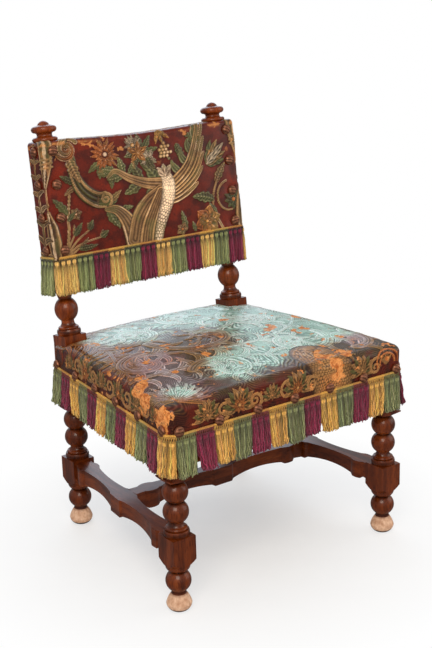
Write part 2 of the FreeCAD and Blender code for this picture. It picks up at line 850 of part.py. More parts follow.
def corner_run(centre, radius, first, last):
    """Path round an outer corner, turning to the left from the first to the last heading angle."""

    def place(length):
        angle = first + length / radius
        return centre[0] + radius * math.sin(angle), centre[1] - radius * math.cos(angle), angle

    return radius * (last - first), place


def hang_row(row, runs, base, pitch_goal, length, first_block, per_colour=None, lean=None):
    """Hangs tassels under a heading along its runs, colour by colour, at one even pitch."""
    total = sum(run[0] for run in runs)
    count = max(1, round(total / pitch_goal))
    pitch = total / count
    shape = tassel(pitch, length)
    per_colour = per_colour or count
    for i in range(count):
        along = pitch * (i + 1 / 2)
        for span, place in runs:
            if along <= span:
                break
            along -= span
        x, y, angle = place(along)
        hung = shape.copy()
        hung.rotate(at(0, 0, 0), at(0, 0, 1), math.degrees(angle))
        hung.translate(at(x, y, base))
        colour = tassel_colours[(first_block + i // per_colour) % len(tassel_colours)]
        row[colour].append(lean(hung) if lean else hung)


def new_row():
    return {colour: [] for colour in tassel_colours}


def make_seat_fringe():
    """Heading and tassels along the left side, the front and the right side, in one colour sequence."""
    top = seat_heading_top
    out = seat_skin + heading_thickness
    band = seat_prism(out, seat_heading_base, top, seat_corner_radius + out, seat_wrap_radius + out)
    hollow = seat_prism(seat_skin, seat_heading_base - overrun, top + overrun, seat_corner_radius + seat_skin,
                        seat_wrap_radius + seat_skin)
    for places in seat_nails().values():
        hollow = hollow.fuse(nail_seats(places))
    band = band.cut(hollow)
    split = frame_front + seat_corner_radius
    reach = frame_front_half + stock
    parts["seat_front_heading"] = band.common(box(-reach, reach, split, frame_front - stock, 0, top))
    for name, side in sides.items():
        parts[f"seat_{name}_heading"] = band.common(box(0, side * reach, split, frame_rear, 0, top))
    mid = seat_skin + heading_thickness / 2
    radius = seat_corner_radius + mid
    front = frame_front - mid
    slant = math.radians(side_angle)
    corner_y = front + radius
    corner_x = seat_half(corner_y, mid) - radius / math.cos(slant)
    touch_x, touch_y = corner_x + radius * math.cos(slant), corner_y + radius * math.sin(slant)
    rear_x = seat_half(frame_rear, mid)
    right_angle = math.radians(90)
    runs = [straight_run((-rear_x, frame_rear), (-touch_x, touch_y)),
            corner_run((-corner_x, corner_y), radius, -right_angle - slant, 0),
            straight_run((-corner_x, front), (corner_x, front)),
            corner_run((corner_x, corner_y), radius, 0, right_angle + slant),
            straight_run((touch_x, touch_y), (rear_x, frame_rear))]
    row = new_row()
    hang_row(row, runs, seat_heading_base, seat_tassel_pitch, seat_tassel_length, 0, tassels_per_colour)
    for colour, hung in row.items():
        parts[f"seat_{colour}_tassels"] = Part.makeCompound(hung)


def heading_strip(start, end, outward):
    """Flat braid band on the back, from start to end, standing out by its thickness."""
    out = at(outward[0] * heading_thickness, outward[1] * heading_thickness, 0)
    low = [at(*start, back_heading_base), at(*end, back_heading_base)]
    plan = [low[0], low[1], low[1] + out, low[0] + out]
    return Part.Face(Part.makePolygon(plan + plan[:1])).extrude(at(0, 0, back_heading_height))


def make_back_fringe():
    """Heading and tassels along the foot of the back and round its two edges, raked with it."""
    edge_front = back_skin_face + back_corner_radius
    front_corner = back_skin_half - back_corner_radius
    mid = heading_thickness / 2
    row = new_row()
    spans = (("left", (-back_skin_half, post_rear), (-back_skin_half, edge_front), (-1, 0), 0, None),
             ("front", (-front_corner, back_skin_face), (front_corner, back_skin_face), (0, -1), 2,
              tassels_per_colour),
             ("right", (back_skin_half, edge_front), (back_skin_half, post_rear), (1, 0), 2, None))
    for name, start, end, out, first_block, per_colour in spans:
        parts[f"back_{name}_heading"] = rake(heading_strip(start, end, out))
        run = straight_run((start[0] + out[0] * mid, start[1] + out[1] * mid),
                           (end[0] + out[0] * mid, end[1] + out[1] * mid))
        hang_row(row, [run], back_heading_base, back_tassel_pitch, back_tassel_length, first_block,
                 per_colour, rake)
    for colour, hung in row.items():
        parts[f"back_{colour}_tassels"] = Part.makeCompound(hung)


# Back upholstery, built upright and then raked
def back_profile(half, base, top, sag, y):
    """Front outline of the back between its posts, the top edge sagging in the middle."""
    near = rear_half - half_stock
    edges = [line(at(-half, y, base), at(half, y, base)), line(at(half, y, base), at(half, y, top)),
             line(at(half, y, top), at(near, y, top)), *sagging_edge(y, top, sag),
             line(at(-near, y, top), at(-half, y, top)), line(at(-half, y, top), at(-half, y, base))]
    return Part.Face(Part.Wire(edges))


def make_back_leather():
    """Leather bent over the face, the top and both edges of the back, open behind and below."""
    depth = post_rear - back_skin_face
    outer = back_profile(back_skin_half, back_edge, back_cover_top, back_sag, back_skin_face)
    outer = outer.extrude(at(0, depth, 0))
    front_edges = [e for e in outer.Edges if abs(e.BoundBox.YMax - back_skin_face) < joint_clearance
                   and e.BoundBox.YLength < joint_clearance and e.BoundBox.ZMax > back_edge + overrun]
    outer = outer.makeFillet(back_corner_radius, front_edges)
    inner_top = back_cover_top - leather_thickness
    inner = back_profile(back_half, back_edge - overrun, inner_top, back_sag, back_face)
    inner = inner.extrude(at(0, depth + overrun, 0))
    inner_edges = [e for e in inner.Edges if abs(e.BoundBox.YMax - back_face) < joint_clearance
                   and e.BoundBox.YLength < joint_clearance and e.BoundBox.ZMax > back_edge + overrun]
    inner = inner.makeFillet(back_corner_radius - leather_thickness, inner_edges)
    cover = outer.cut(inner)
    for side in sides.values():
        hole = Part.makeCylinder(finial_tenon_radius + joint_clearance, overrun * 2,
                                 at(side * rear_half, rear_axis, post_top - overrun))
        cover = cover.cut(hole)
    return cover


def make_back_stuffing():
    """Thin pad in front of the frame, pulled in at its edges."""
    half = back_half - soft_clearance - back_corner_radius
    base = back_edge + soft_clearance
    top = post_top - soft_clearance
    near = back_face + soft_clearance
    middle = (near + post_front) / 2 + soft_clearance
    behind = post_front - hessian_thickness - soft_clearance
    front = back_profile(half - back_padding, base + back_padding, top - back_padding, back_sag, near)
    waist = back_profile(half, base, top, back_sag, middle)
    rear = back_profile(half, base, top, back_sag, behind)
    return Part.makeLoft([front.OuterWire, waist.OuterWire, rear.OuterWire], True, True)


def make_frame():
    for end, leg_half, y in (("front", front_half, front_axis), ("rear", rear_half, rear_axis)):
        for name, side in sides.items():
            parts[f"{end}_{name}_foot"] = make_foot(side * leg_half, y)
    for name, side in sides.items():
        parts[f"front_{name}_leg"] = make_leg(side)
        parts[f"rear_{name}_post"] = make_post(side)
        parts[f"{name}_finial"] = make_finial(side)
        parts[f"{name}_side_stretcher"] = make_side_stretcher(side)
        parts[f"{name}_seat_rail"] = make_side_rail(side)
    parts["cross_stretcher"] = make_cross_stretcher()
    parts["front_seat_rail"] = make_cross_rail(front_half, frame_front, 1)
    parts["rear_seat_rail"] = make_cross_rail(rear_half, frame_rear, -1)
    parts["back_top_rail"] = rake(make_back_rail(back_top_rail_base, post_top, back_sag))
    parts["back_low_rail"] = rake(make_back_rail(back_low_rail_base, back_low_rail_top, 0))


def make_seat_upholstery():
    make_webbing()
    sheet = seat_prism(-hessian_margin, hessian_base, hessian_base + hessian_thickness, seat_corner_radius,
                       seat_wrap_radius)
    parts["seat_hessian"] = cut_all(sheet, post_corners(soft_clearance, rail_base, seat_crown_top))
    inner_edge = seat_edge_radius - leather_thickness
    under_leather = seat_crown_top - leather_thickness
    parts["seat_stuffing"] = crowned_seat(-soft_clearance / 2, stuffing_base, under_leather - soft_clearance,
                                          inner_edge, cover_gap)
    outer = crowned_seat(seat_skin, leather_edge, seat_crown_top, seat_edge_radius, cover_gap)
    inner = crowned_seat(cover_gap, leather_edge - overrun, under_leather, inner_edge, cover_gap)
    cover = outer.cut(inner)
    for flap in post_flaps():
        cover = cover.fuse(flap)
    parts["seat_leather_cover"] = cover.removeSplitter()


def make_back_upholstery():
    half = back_half - soft_clearance - back_corner_radius
    cloth = back_profile(half, back_edge + soft_clearance, post_top - soft_clearance, back_sag,
                         post_front - hessian_thickness)
    parts["back_hessian"] = rake(cloth.extrude(at(0, hessian_thickness, 0)))
    parts["back_stuffing"] = rake(make_back_stuffing())
    parts["back_leather_cover"] = rake(make_back_leather())
    panel = back_profile(frame_rear_half - outside_panel_margin, back_edge + outside_panel_margin,
                         post_top - outside_panel_margin, back_sag, post_rear)
    parts["outside_back_panel"] = rake(panel.extrude(at(0, outside_panel_thickness, 0)))


def drive_nails():
    """Places every nail and bores its hole through what it holds."""
    seat_holes = []
    for name, places in seat_nails().items():
        parts[f"seat_{name}_nails"] = placed_nails(big_nail, places)
        seat_holes += nail_holes(places, nail_shank_length)
    back_holes = []
    for name, places in back_nails().items():
        parts[f"back_{name}_nails"] = rake(placed_nails(big_nail, places))
        back_holes += [rake(h) for h in nail_holes(places, nail_shank_length)]
    places = panel_tacks()
    parts["outside_panel_tacks"] = rake(placed_nails(small_tack, places))
    back_holes += [rake(h) for h in nail_holes(places, tack_shank_length)]
    for name in ("seat_leather_cover", "front_seat_rail", "rear_seat_rail", "left_seat_rail",
                 "right_seat_rail", "front_left_leg", "front_right_leg", "rear_left_post",
                 "rear_right_post"):
        parts[name] = bored(parts[name], seat_holes)
    for name in ("back_leather_cover", "back_stuffing", "back_hessian", "outside_back_panel",
                 "rear_left_post", "rear_right_post"):
        parts[name] = bored(parts[name], back_holes)


def bored(shape, holes):
    """Shape with the holes that reach it."""
    reaching = [h for h in holes if h.BoundBox.intersect(shape.BoundBox)]
    if not reaching:
        return shape
    return shape.cut(Part.makeCompound(reaching))


def main():
    make_frame()
    make_seat_upholstery()
    make_back_upholstery()
    drive_nails()
    make_seat_fringe()
    make_back_fringe()
    # The origin is on the floor in the middle of the whole chair
    whole = Part.makeCompound(list(parts.values())).optimalBoundingBox(False)
    middle = at((whole.XMin + whole.XMax) / 2, (whole.YMin + whole.YMax) / 2, whole.ZMin)
    os.makedirs("parts", exist_ok=True)
    for name, shape in parts.items():
        shape.translate(middle * -1)
        shape.exportStep(f"parts/{name}.step")
        print(name, len(shape.Solids), round(shape.Volume), shape.isValid())
    print("box", [round(v, 2) for v in (whole.XLength, whole.YLength, whole.ZLength)], "middle", middle)


main()
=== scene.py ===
"""Child's side chair dressed over its solids: turned walnut, embossed painted leather, wool tassel fringe."""
import math

import bpy
import numpy as np
from mathutils import Matrix, Vector


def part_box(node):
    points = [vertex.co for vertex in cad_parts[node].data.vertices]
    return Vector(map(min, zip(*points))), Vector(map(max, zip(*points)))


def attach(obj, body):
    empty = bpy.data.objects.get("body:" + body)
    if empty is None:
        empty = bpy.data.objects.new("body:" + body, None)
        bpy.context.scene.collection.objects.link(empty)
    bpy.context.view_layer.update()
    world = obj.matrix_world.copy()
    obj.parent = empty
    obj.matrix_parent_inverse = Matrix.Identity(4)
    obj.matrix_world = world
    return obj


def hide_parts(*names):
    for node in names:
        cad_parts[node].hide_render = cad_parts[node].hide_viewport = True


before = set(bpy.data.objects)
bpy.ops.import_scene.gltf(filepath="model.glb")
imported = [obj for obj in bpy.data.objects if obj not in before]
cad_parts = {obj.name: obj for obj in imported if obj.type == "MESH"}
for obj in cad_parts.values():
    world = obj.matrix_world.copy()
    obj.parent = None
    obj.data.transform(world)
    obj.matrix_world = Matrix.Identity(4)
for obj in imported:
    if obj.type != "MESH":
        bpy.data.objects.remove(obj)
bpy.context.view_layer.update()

# Every size below is in millimetres, and y = 0 lies midway between the leg axes
MM = 0.001
WHOLE_TURN = 2 * math.pi
UP = np.array((0.0, 0.0, 1.0))
seed = np.random.default_rng


def solid(node):
    """Lowest and highest corner of a solid, in millimetres."""
    low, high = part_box(node)
    return np.array(low) / MM, np.array(high) / MM


# Plan of the frame, read from the feet
front_foot = np.mean(solid("front_right_foot"), axis=0)
rear_foot = np.mean(solid("rear_right_foot"), axis=0)
MIDDLE_Y = (front_foot[1] + rear_foot[1]) / 2
AXIS_Y = (rear_foot[1] - front_foot[1]) / 2
REAR_AXIS_X = rear_foot[0]
HALF_STOCK = 18.5
FRAME_Y = AXIS_Y + HALF_STOCK
FRONT_HALF = front_foot[0] + HALF_STOCK
REAR_HALF = REAR_AXIS_X + HALF_STOCK
REAR_GAP = REAR_AXIS_X - HALF_STOCK
TAPER = (FRONT_HALF - REAR_HALF) / (2 * FRAME_Y)
SLANT = math.atan(TAPER)

# Seat cover
SKIN = 2.1
LEATHER = 1.8
SEAT_BASE = solid("seat_leather_cover")[0][2]
SEAT_TOP = solid("seat_leather_cover")[1][2]
CROWN_DROP = 12.5
CORNER_DROP = 4.5
CORNER = 12.0
EDGE_DROP = 10.0
POCKET_TOP = 279.6
FLAP_TOP = 291.0
SEAT_GRID = 480
SEAT_TOP_SHARE = 0.74
SEAT_ROLL_SHARE = 0.38

# Back cover, measured upright and then leaned with the posts
RAKE = math.radians(7.2)
BEND_Z = 300.0
BACK_BASE = 428.5
BACK_TOP = 606.1
BACK_FACE = 136.0
BACK_REAR = AXIS_Y + HALF_STOCK
BACK_HALF = REAR_HALF + SKIN
BACK_SAG = 4.0
BACK_CROWN = 2.2
BACK_ROLL = 6.0
BACK_GRID = 420
BACK_FACE_SHARE = 0.76
BACK_ROLL_SHARE = 0.22
BACK_INSIDE = BACK_FACE + BACK_ROLL + 2.0
PANEL_MARGIN = 7.0
PANEL_TOP = 597.0
PANEL_THICK = 1.5

# Fringe and nails
SEAT_HEADING = (solid("seat_front_heading")[0][2], solid("seat_front_heading")[1][2])
BACK_HEADING = (428.5, 435.5)
HEADING_OUT = 2.4
SEAT_TASSELS = 111
SEAT_TASSEL_LENGTH = 50.0
SEAT_GATHER = 0.24
BACK_TASSELS = 36
BACK_EDGE_TASSELS = 4
BACK_TASSEL_LENGTH = 52.0
BACK_TASSEL_PITCH = 9.5
TASSEL_UP = 0.5
TASSEL_OUT = 0.6
TASSELS_PER_COLOUR = 3
NAIL_RADIUS = 7.75
NAIL_RIM = 0.8
NAIL_DOME = 4.8
NAIL_INSET = 14.5
TACK_RADIUS = 4.0
TACK_DOME = 2.2
TACK_INSET = 16.0
SEAT_NAIL_Z = SEAT_HEADING[1] + 2.0
BACK_NAIL_Z = np.linspace(443.55, 591.0, 4)
BACK_NAIL_X = BACK_HALF - 16.0


def linear(hex_colour):
    """Linear red, green and blue of an sRGB hex colour."""
    c = np.array([int(hex_colour[k:k + 2], 16) for k in (1, 3, 5)]) / 255
    return np.where(c <= 0.04045, c / 12.92, ((c + 0.055) / 1.055) ** 2.4)


# Paint on the leather, some of it painted sheen and highlight, and dyes of the yarn, one set painted brighter
# as painted light
OXBLOOD = linear("#661b07")
OXBLOOD_DARK = linear("#34110a")
OXBLOOD_RED = linear("#7f2409")
BRONZE = linear("#c49762")
BRONZE_DARK = linear("#3a2213")
# Pale gilt paint, also the colour of painted highlights and glints
GILT_AND_HIGHLIGHT = linear("#f0d2ae")
SCALE_DARK = linear("#5a3d2a")
LEAF = linear("#6e6f3c")
LEAF_DARK = linear("#232813")
SAGE = linear("#848052")
ORANGE = linear("#c9773a")
ORANGE_DARK = linear("#54200e")
PETAL = linear("#dd9a4c")
WORN = linear("#f0a058")
WORN_DEEP = linear("#bd682a")
# Aqua of the seat: partly paint, partly a painted sheen
AQUA_PAINT_AND_SHEEN = linear("#bfeadb")
AQUA_DARK = linear("#5b8277")
# Near-white painted highlight for the aqua ridges
PAINTED_HIGHLIGHT_ON_AQUA = linear("#e8faf2")
SLATE = linear("#c0b2b6")
SLATE_DARK = linear("#473c44")
OLIVE = linear("#b0854c")
OLIVE_DARK = linear("#32230f")
AGED = linear("#bd8a50")
AGED_DARK = linear("#38200f")
RUST = linear("#7c4022")
FLESH_SIDE = linear("#6b4a33")
NAIL_RIDGE = linear("#a36e54")
NAIL_GROOVE = linear("#341d13")
CORD_GOLD = linear("#cf9b42")
DYES = {"green": linear("#8d9362"), "purple": linear("#8a2444"), "gold": linear("#f2ba5e")}
# Dyes painted brighter for the back tassels, as painted light
BACK_DYES_WITH_PAINTED_LIGHT = {"green": linear("#9aa068"), "purple": linear("#8a2444"), "gold": linear("#ffcc74")}
COLOURS = list(DYES)

# Tints of motifs: the paint of ridges and of hollows
BRONZED = (BRONZE, BRONZE_DARK)
LEAFY = (SAGE, LEAF_DARK)
PETALLED = (PETAL, ORANGE_DARK)
FLAMED = (ORANGE, ORANGE_DARK)
# Pale tint of the painted highlight strips
PAINTED_HIGHLIGHT_STRIP = (GILT_AND_HIGHLIGHT, BRONZE)
WALLED = (AGED, AGED_DARK)


def seat_half(y, out=0.0):
    """Half width of the frame at y, moved outwards: it shrinks evenly from front to rear."""
    return FRONT_HALF - TAPER * (y + FRAME_Y) + out / math.cos(SLANT)


def crown(x, y):
    """Height of the seat's top: it falls as a square law to each side, a little more to the corners."""
    u = (x / seat_half(y, SKIN)) ** 2
    v = (y / (FRAME_Y + SKIN)) ** 2
    return SEAT_TOP - CROWN_DROP * (1 - (1 - u) * (1 - v)) - CORNER_DROP * u * v


def leaned(points):
    """Upright points turned back about the bend line of the posts."""
    y = points[..., 1] - AXIS_Y
    z = points[..., 2] - BEND_Z
    turned = points.copy()
    turned[..., 1] = AXIS_Y + y * math.cos(RAKE) + z * math.sin(RAKE)
    turned[..., 2] = BEND_Z + z * math.cos(RAKE) - y * math.sin(RAKE)
    return turned


def smooth(low, high, x):
    """Eased step from 0 at low to 1 at high."""
    t = np.clip((x - low) / (high - low), 0, 1)
    return t * t * (3 - 2 * t)


def unit(vectors):
    """Vectors of length one."""
    return vectors / np.linalg.norm(vectors, axis=-1, keepdims=True)


def round_angles(count):
    """Even angles round a whole turn."""
    return np.linspace(0, WHOLE_TURN, count, endpoint=False)


def mottle(x, y, size, start, octaves=3):
    """Cloudy noise from 0 to 1: random lattice values eased between, each octave finer and fainter."""
    cells = 64
    total = np.zeros_like(x, dtype=float)
    for octave in range(octaves):
        lattice = seed(start + octave).random((cells, cells))
        u = x / size * 2 ** octave
        v = y / size * 2 ** octave
        i = np.floor(u).astype(int)
        j = np.floor(v).astype(int)
        a = smooth(0, 1, u - i)
        b = smooth(0, 1, v - j)
        near, far = (lattice[i % cells, k % cells] * (1 - a) + lattice[(i + 1) % cells, k % cells] * a
                     for k in (j, j + 1))
        total += (near * (1 - b) + far * b) / 2 ** octave
    return total / (2 - 2.0 ** (1 - octaves))


def blend(a, b, share):
    """Colours from a to b by a share from 0 to 1 for each point."""
    return a + (b - a) * np.clip(share, 0, 1)[:, None]


# Materials
def per_metre(millimetres):
    """Texture scale that repeats once in so many millimetres."""
    return 1 / (millimetres * MM)


class Nodes:
    """A shader tree being built; every method that adds a node gives the socket that comes out of it."""

    def __init__(self, tree):
        self.tree = tree

    def add(self, kind, output, inputs=(), **settings):
        """Any shader node, with its settings, and its inputs as values or as sockets of other nodes."""
        made = self.tree.nodes.new("ShaderNode" + kind)
        for name, value in settings.items():
            setattr(made, name, value)
        for socket, value in dict(inputs).items():
            if isinstance(value, bpy.types.NodeSocket):
                self.tree.links.new(value, made.inputs[socket])
            else:
                made.inputs[socket].default_value = value
        return made.outputs[output]

    def span(self, value, low, high, start=0.0, end=1.0):
        """Number that goes from low to high as a value goes from start to end."""
        return self.add("MapRange", 0, {0: value, 1: start, 2: end, 3: low, 4: high})

    def join(self, value, name, socket):
        """Links a socket to an input of a node that is in the tree already."""
        self.tree.links.new(value, self.tree.nodes[name].inputs[socket])


class Surface(Nodes):
    """A material being built, with the nodes that these materials have in common."""

    def __init__(self, name, **sockets):
        self.material = bpy.data.materials.new(name)
        self.material.use_nodes = True
        super().__init__(self.material.node_tree)
        self.shader = self.tree.nodes["Principled BSDF"]
        for socket, value in sockets.items():
            self.shader.inputs[socket.replace("_", " ")].default_value = value
        self.place = self.add("TexCoord", "Object")

    def noise(self, size, detail, place=None, **more):
        """Cloudy noise of features so many millimetres wide."""
        place = self.place if place is None else place
        return self.add("TexNoise", 0, {"Vector": place, "Scale": per_metre(size), "Detail": detail, **more})

    def ramp(self, value, *stops):
        """Colour by a value: each stop has its place and its colour, as a hex colour or as numbers."""
        colour = self.add("ValToRGB", 0, {0: value})
        elements = colour.node.color_ramp.elements
        for k, (place, tint) in enumerate(stops):
            stop = elements[k] if k < 2 else elements.new(place)
            stop.position = place
            stop.color = (*(linear(tint) if isinstance(tint, str) else tint), 1.0)
        return colour

    def multiply(self, a, b, share=1.0):
        """One colour times another."""
        return self.add("Mix", 2, {0: share, 6: a, 7: b}, data_type="RGBA", blend_type="MULTIPLY")

    def stretched(self, *scale):
        """Place stretched along its axes."""
        return self.add("Mapping", 0, {"Vector": self.place, "Scale": scale})

    def height(self, whole):
        """Height above the floor as a share of so many millimetres."""
        z = self.add("SeparateXYZ", 2, {0: self.place})
        return self.add("Math", 0, {0: z, 1: per_metre(whole)}, operation="MULTIPLY")

    def mark(self, name, output="Color"):
        """Colours or values marked on the points of a mesh."""
        return self.add("Attribute", output, attribute_name=name)

    def bump(self, relief, strength, depth):
        """Fine relief, so many millimetres deep."""
        return self.add("Bump", 0, {"Height": relief, "Strength": strength, "Distance": depth * MM})

    def done(self, **sockets):
        """Joins sockets to the shader and gives the material."""
        for socket, value in sockets.items():
            self.join(value, "Principled BSDF", socket.replace("_", " "))
        return self.material


def turned_walnut(name, along, grooves):
    """Turned walnut, stained and polished: long figure, dark pores, painted shade that darkens it low down,
    painted shade and grime in its grooves.
    """
    s = Surface(name, Coat_Weight=0.32, Coat_Roughness=0.13, IOR=1.28)
    whole, half_band = 640, 3.2
    white = (1.0, 1.0, 1.0)
    grain = s.stretched(*(0.12 if axis == along else 1.0 for axis in range(3)))
    figure = s.noise(14, 5.0, grain, Roughness=0.55, Distortion=0.6)
    pores = s.noise(1.6, 2.0, grain)
    tone = s.ramp(figure, (0.28, "#57230a"), (0.47, "#74310d"), (0.62, "#904114"), (0.80, "#ab5822"))
    wood = s.multiply(tone, s.ramp(pores, (0.36, (0.62, 0.55, 0.5)), (0.50, white)))
    height = s.height(whole)
    # Painted shade: the wood darker low down, lighter towards the top
    wood = s.multiply(wood, s.span(height, 0.6, 0.9, 0.3, 0.62))
    # Dark bands at the grooves: painted shade and grime
    bands = [((z + off) / whole, (0.16, 0.12, 0.1) if off == 0 else white)
             for z in grooves for off in (-half_band, 0, half_band)]
    if bands:
        wood = s.multiply(wood, s.ramp(height, *bands), 0.85)
    return s.done(Base_Color=wood, Roughness=s.span(figure, 0.42, 0.27), Normal=s.bump(pores, 0.16, 0.4))


def bare_beech():
    """Bare beech feet, spliced on later: pale pinkish wood, short flecks, a painted contact shadow dark at
    the floor, a darker band towards the top.
    """
    s = Surface("bare beech", IOR=1.5)
    figure = s.noise(5, 4.0, s.stretched(1.0, 1.0, 0.7))
    tone = s.ramp(figure, (0.3, "#bd8b6b"), (0.7, "#ecc4a4"))
    # Painted contact shadow: dark at the floor; a darker band towards the top
    floor_shadow_and_top_band = s.ramp(s.height(30), (0.10, "#2c1c14"), (0.19, "#ffffff"), (0.74, "#ffffff"), (0.90, "#7a5540"))
    return s.done(Base_Color=s.multiply(tone, floor_shadow_and_top_band), Roughness=s.span(figure, 0.72, 0.55),
                  Normal=s.bump(figure, 0.3, 0.5))


def embossed_leather():
    """Embossed calf, painted and varnished: paint with its painted sheen and shade by attribute, fine grain,
    age cracks, a glassy coat.
    """
    s = Surface("embossed painted leather", Coat_Weight=0.2, Coat_Roughness=0.2, IOR=1.3)
    grain = s.noise(1.8, 3.0)
    dapple = s.ramp(grain, (0.32, (0.62, 0.58, 0.56)), (0.66, (1.12, 1.1, 1.08)))
    cracks = s.add("TexVoronoi", 0, {"Vector": s.place, "Scale": per_metre(4.5)}, feature="DISTANCE_TO_EDGE")
    relief = s.add("Mix", 0, {0: 0.35, 2: grain, 3: s.span(cracks, 0.0, 1.0, 0.0, 0.08)})
    return s.done(Base_Color=s.multiply(s.mark("Paint"), dapple, 0.75),
                  Roughness=s.span(s.mark("Wear", "Fac"), 0.34, 0.7), Normal=s.bump(relief, 0.22, 0.35))


def plain_leather():
    """Plain smooth leather of the outside back: matt red-brown, faint grain and rubbed clouds."""
    s = Surface("plain leather", IOR=1.5)
    cloud = s.noise(45, 6.0)
    grain = s.add("TexVoronoi", 0, {"Vector": s.place, "Scale": per_metre(1.6)})
    tone = s.ramp(cloud, (0.3, "#32120d"), (0.72, "#62291b"))
    return s.done(Base_Color=tone, Roughness=s.span(cloud, 0.4, 0.62), Normal=s.bump(grain, 0.25, 0.3))


def wool_yarn():
    """Dyed wool yarn: colour by strand, with its painted shade, soft fuzzy sheen, fibres as noise coarse
    enough to show.
    """
    s = Surface("dyed wool yarn", Sheen_Weight=0.12, Sheen_Roughness=0.5, IOR=1.4)
    fibre = s.noise(1.1, 2.0)
    shade = s.ramp(fibre, (0.3, (0.66, 0.62, 0.6)), (0.68, (1.15, 1.15, 1.12)))
    return s.done(Base_Color=s.multiply(s.mark("Paint"), shade), Roughness=s.span(fibre, 0.95, 0.75),
                  Normal=s.bump(fibre, 0.5, 0.5))


def patinated_brass():
    """Stamped brass nail heads, browned with age: dark in the grooves, rubbed copper on the ridges."""
    s = Surface("patinated brass", Metallic=0.75)
    spots = s.noise(2.5, 4.0)
    shade = s.ramp(spots, (0.3, (0.6, 0.55, 0.52)), (0.7, (1.15, 1.1, 1.05)))
    return s.done(Base_Color=s.multiply(s.mark("Paint"), shade), Roughness=s.span(spots, 0.58, 0.36))


def woven_jute(name, light, dark, thread):
    """Plain-woven jute: threads over and under at a real spacing, slubs by noise, dry and rough."""
    s = Surface(name, IOR=1.5)
    waves_in_scale = 20
    wave = {"Vector": s.place, "Scale": per_metre(thread) / waves_in_scale, "Distortion": 1.0}
    warp, weft = (s.add("TexWave", 1, wave, bands_direction=way) for way in "XY")
    cloth = s.add("Math", 0, {0: warp, 1: weft}, operation="MULTIPLY")
    slub = s.noise(7, 4.0)
    height = s.add("Math", 0, {0: cloth, 1: slub}, operation="ADD")
    return s.done(Base_Color=s.ramp(height, (0.3, dark), (1.0, light)), Roughness=s.span(slub, 0.95, 0.8),
                  Normal=s.bump(cloth, 0.7, 0.6))


LEG_GROOVES = (27.5, 59.0, 116.0, 128.5, 160.5, 190.5, 319.5, 329.5, 368.5, 387.0)
UPRIGHT_WALNUT = turned_walnut("turned walnut, upright", 2, LEG_GROOVES)
SIDE_WALNUT = turned_walnut("walnut, front to back", 1, ())
CROSS_WALNUT = turned_walnut("walnut, side to side", 0, ())
BEECH = bare_beech()
TOOLED = embossed_leather()
PLAIN = plain_leather()
YARN = wool_yarn()
BRASS = patinated_brass()
WEBBING = woven_jute("jute webbing", "#b8935c", "#5f4526", 2.2)
HESSIAN = woven_jute("hessian", "#b99d6e", "#4f3c24", 1.6)


# Meshes
def piece(name, points, faces, material, marks=None):
    """Mesh object from points in millimetres and index rows, with colours or values marked on its points."""
    mesh = bpy.data.meshes.new(name)
    corners = np.concatenate([rows.ravel() for rows in faces])
    sizes = np.concatenate([np.full(len(rows), rows.shape[1]) for rows in faces])
    starts = np.concatenate([[0], np.cumsum(sizes)[:-1]])
    mesh.vertices.add(len(points))
    mesh.loops.add(len(corners))
    mesh.polygons.add(len(sizes))
    placed = (points + (0.0, MIDDLE_Y, 0.0)) * MM
    mesh.vertices.foreach_set("co", placed.astype(np.float32).ravel())
    mesh.loops.foreach_set("vertex_index", corners.astype(np.int32))
    mesh.polygons.foreach_set("loop_start", starts.astype(np.int32))
    mesh.polygons.foreach_set("use_smooth", np.ones(len(sizes), dtype=bool))
    mesh.update(calc_edges=True)
    for mark, values in (marks or {}).items():
        if values.ndim == 2:
            colours = np.concatenate([values, np.ones((len(values), 1))], axis=1)
            attribute = mesh.attributes.new(mark, "FLOAT_COLOR", "POINT")
            attribute.data.foreach_set("color", colours.astype(np.float32).ravel())
        else:
            attribute = mesh.attributes.new(mark, "FLOAT", "POINT")
            attribute.data.foreach_set("value", values.astype(np.float32))
    mesh.materials.append(material)
    made = bpy.data.objects.new(name, mesh)
    bpy.context.scene.collection.objects.link(made)
    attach(made, "root")
    return made


def grid_faces(rows, columns, round_rows=False):
    """Four-cornered faces of a grid of points, joined round each row where asked."""
    i = np.arange(rows - 1)[:, None] * columns
    j = np.arange(columns if round_rows else columns - 1)[None, :]
    k = (j + 1) % columns
    return np.stack([i + j, i + k, i + columns + k, i + columns + j], axis=-1).reshape(-1, 4)


def capped_faces(rows, sides):
    """Faces of a round body: its rings joined, then fans to the two points after them, its foot and tip."""
    first = np.arange(sides)
    last = first + (rows - 1) * sides
    fans = [np.stack([np.roll(first, -1), first, np.full(sides, rows * sides)], axis=1),
            np.stack([last, np.roll(last, -1), np.full(sides, rows * sides + 1)], axis=1)]
    return [grid_faces(rows, sides, True), np.concatenate(fans)]


def rim_loop(rows, columns):
    """Indices round the edge of a grid, in order."""
    grid = np.arange(rows * columns).reshape(rows, columns)
    return np.concatenate([grid[0, :-1], grid[:-1, -1], grid[-1, :0:-1], grid[:0:-1, 0]])


def slab_faces(rows, columns):
    """Faces of a slab: a grid of upper points, the same grid of lower points after them, and its edge."""
    count = rows * columns
    loop = rim_loop(rows, columns)
    turn = np.roll(loop, -1)
    grid = grid_faces(rows, columns)
    return [grid, grid[:, ::-1] + count, np.stack([turn, loop, loop + count, turn + count], axis=1)]


def flipped(faces):
    """Faces that look the other way."""
    return [rows[:, ::-1] for rows in faces]


def copies(faces, count, size):
    """The same faces for each of so many equal runs of points."""
    return (faces[None] + np.arange(count)[:, None, None] * size).reshape(-1, faces.shape[1])


def joined(bodies):
    """Bodies made one, each of them points, two arrays of faces and paint."""
    points, faces, paint = zip(*bodies)
    starts = np.cumsum([0] + [len(body) for body in points[:-1]])
    rows = [np.concatenate([part + start for part, start in zip(kind, starts)]) for kind in zip(*faces)]
    return np.concatenate(points), rows, np.concatenate(paint)


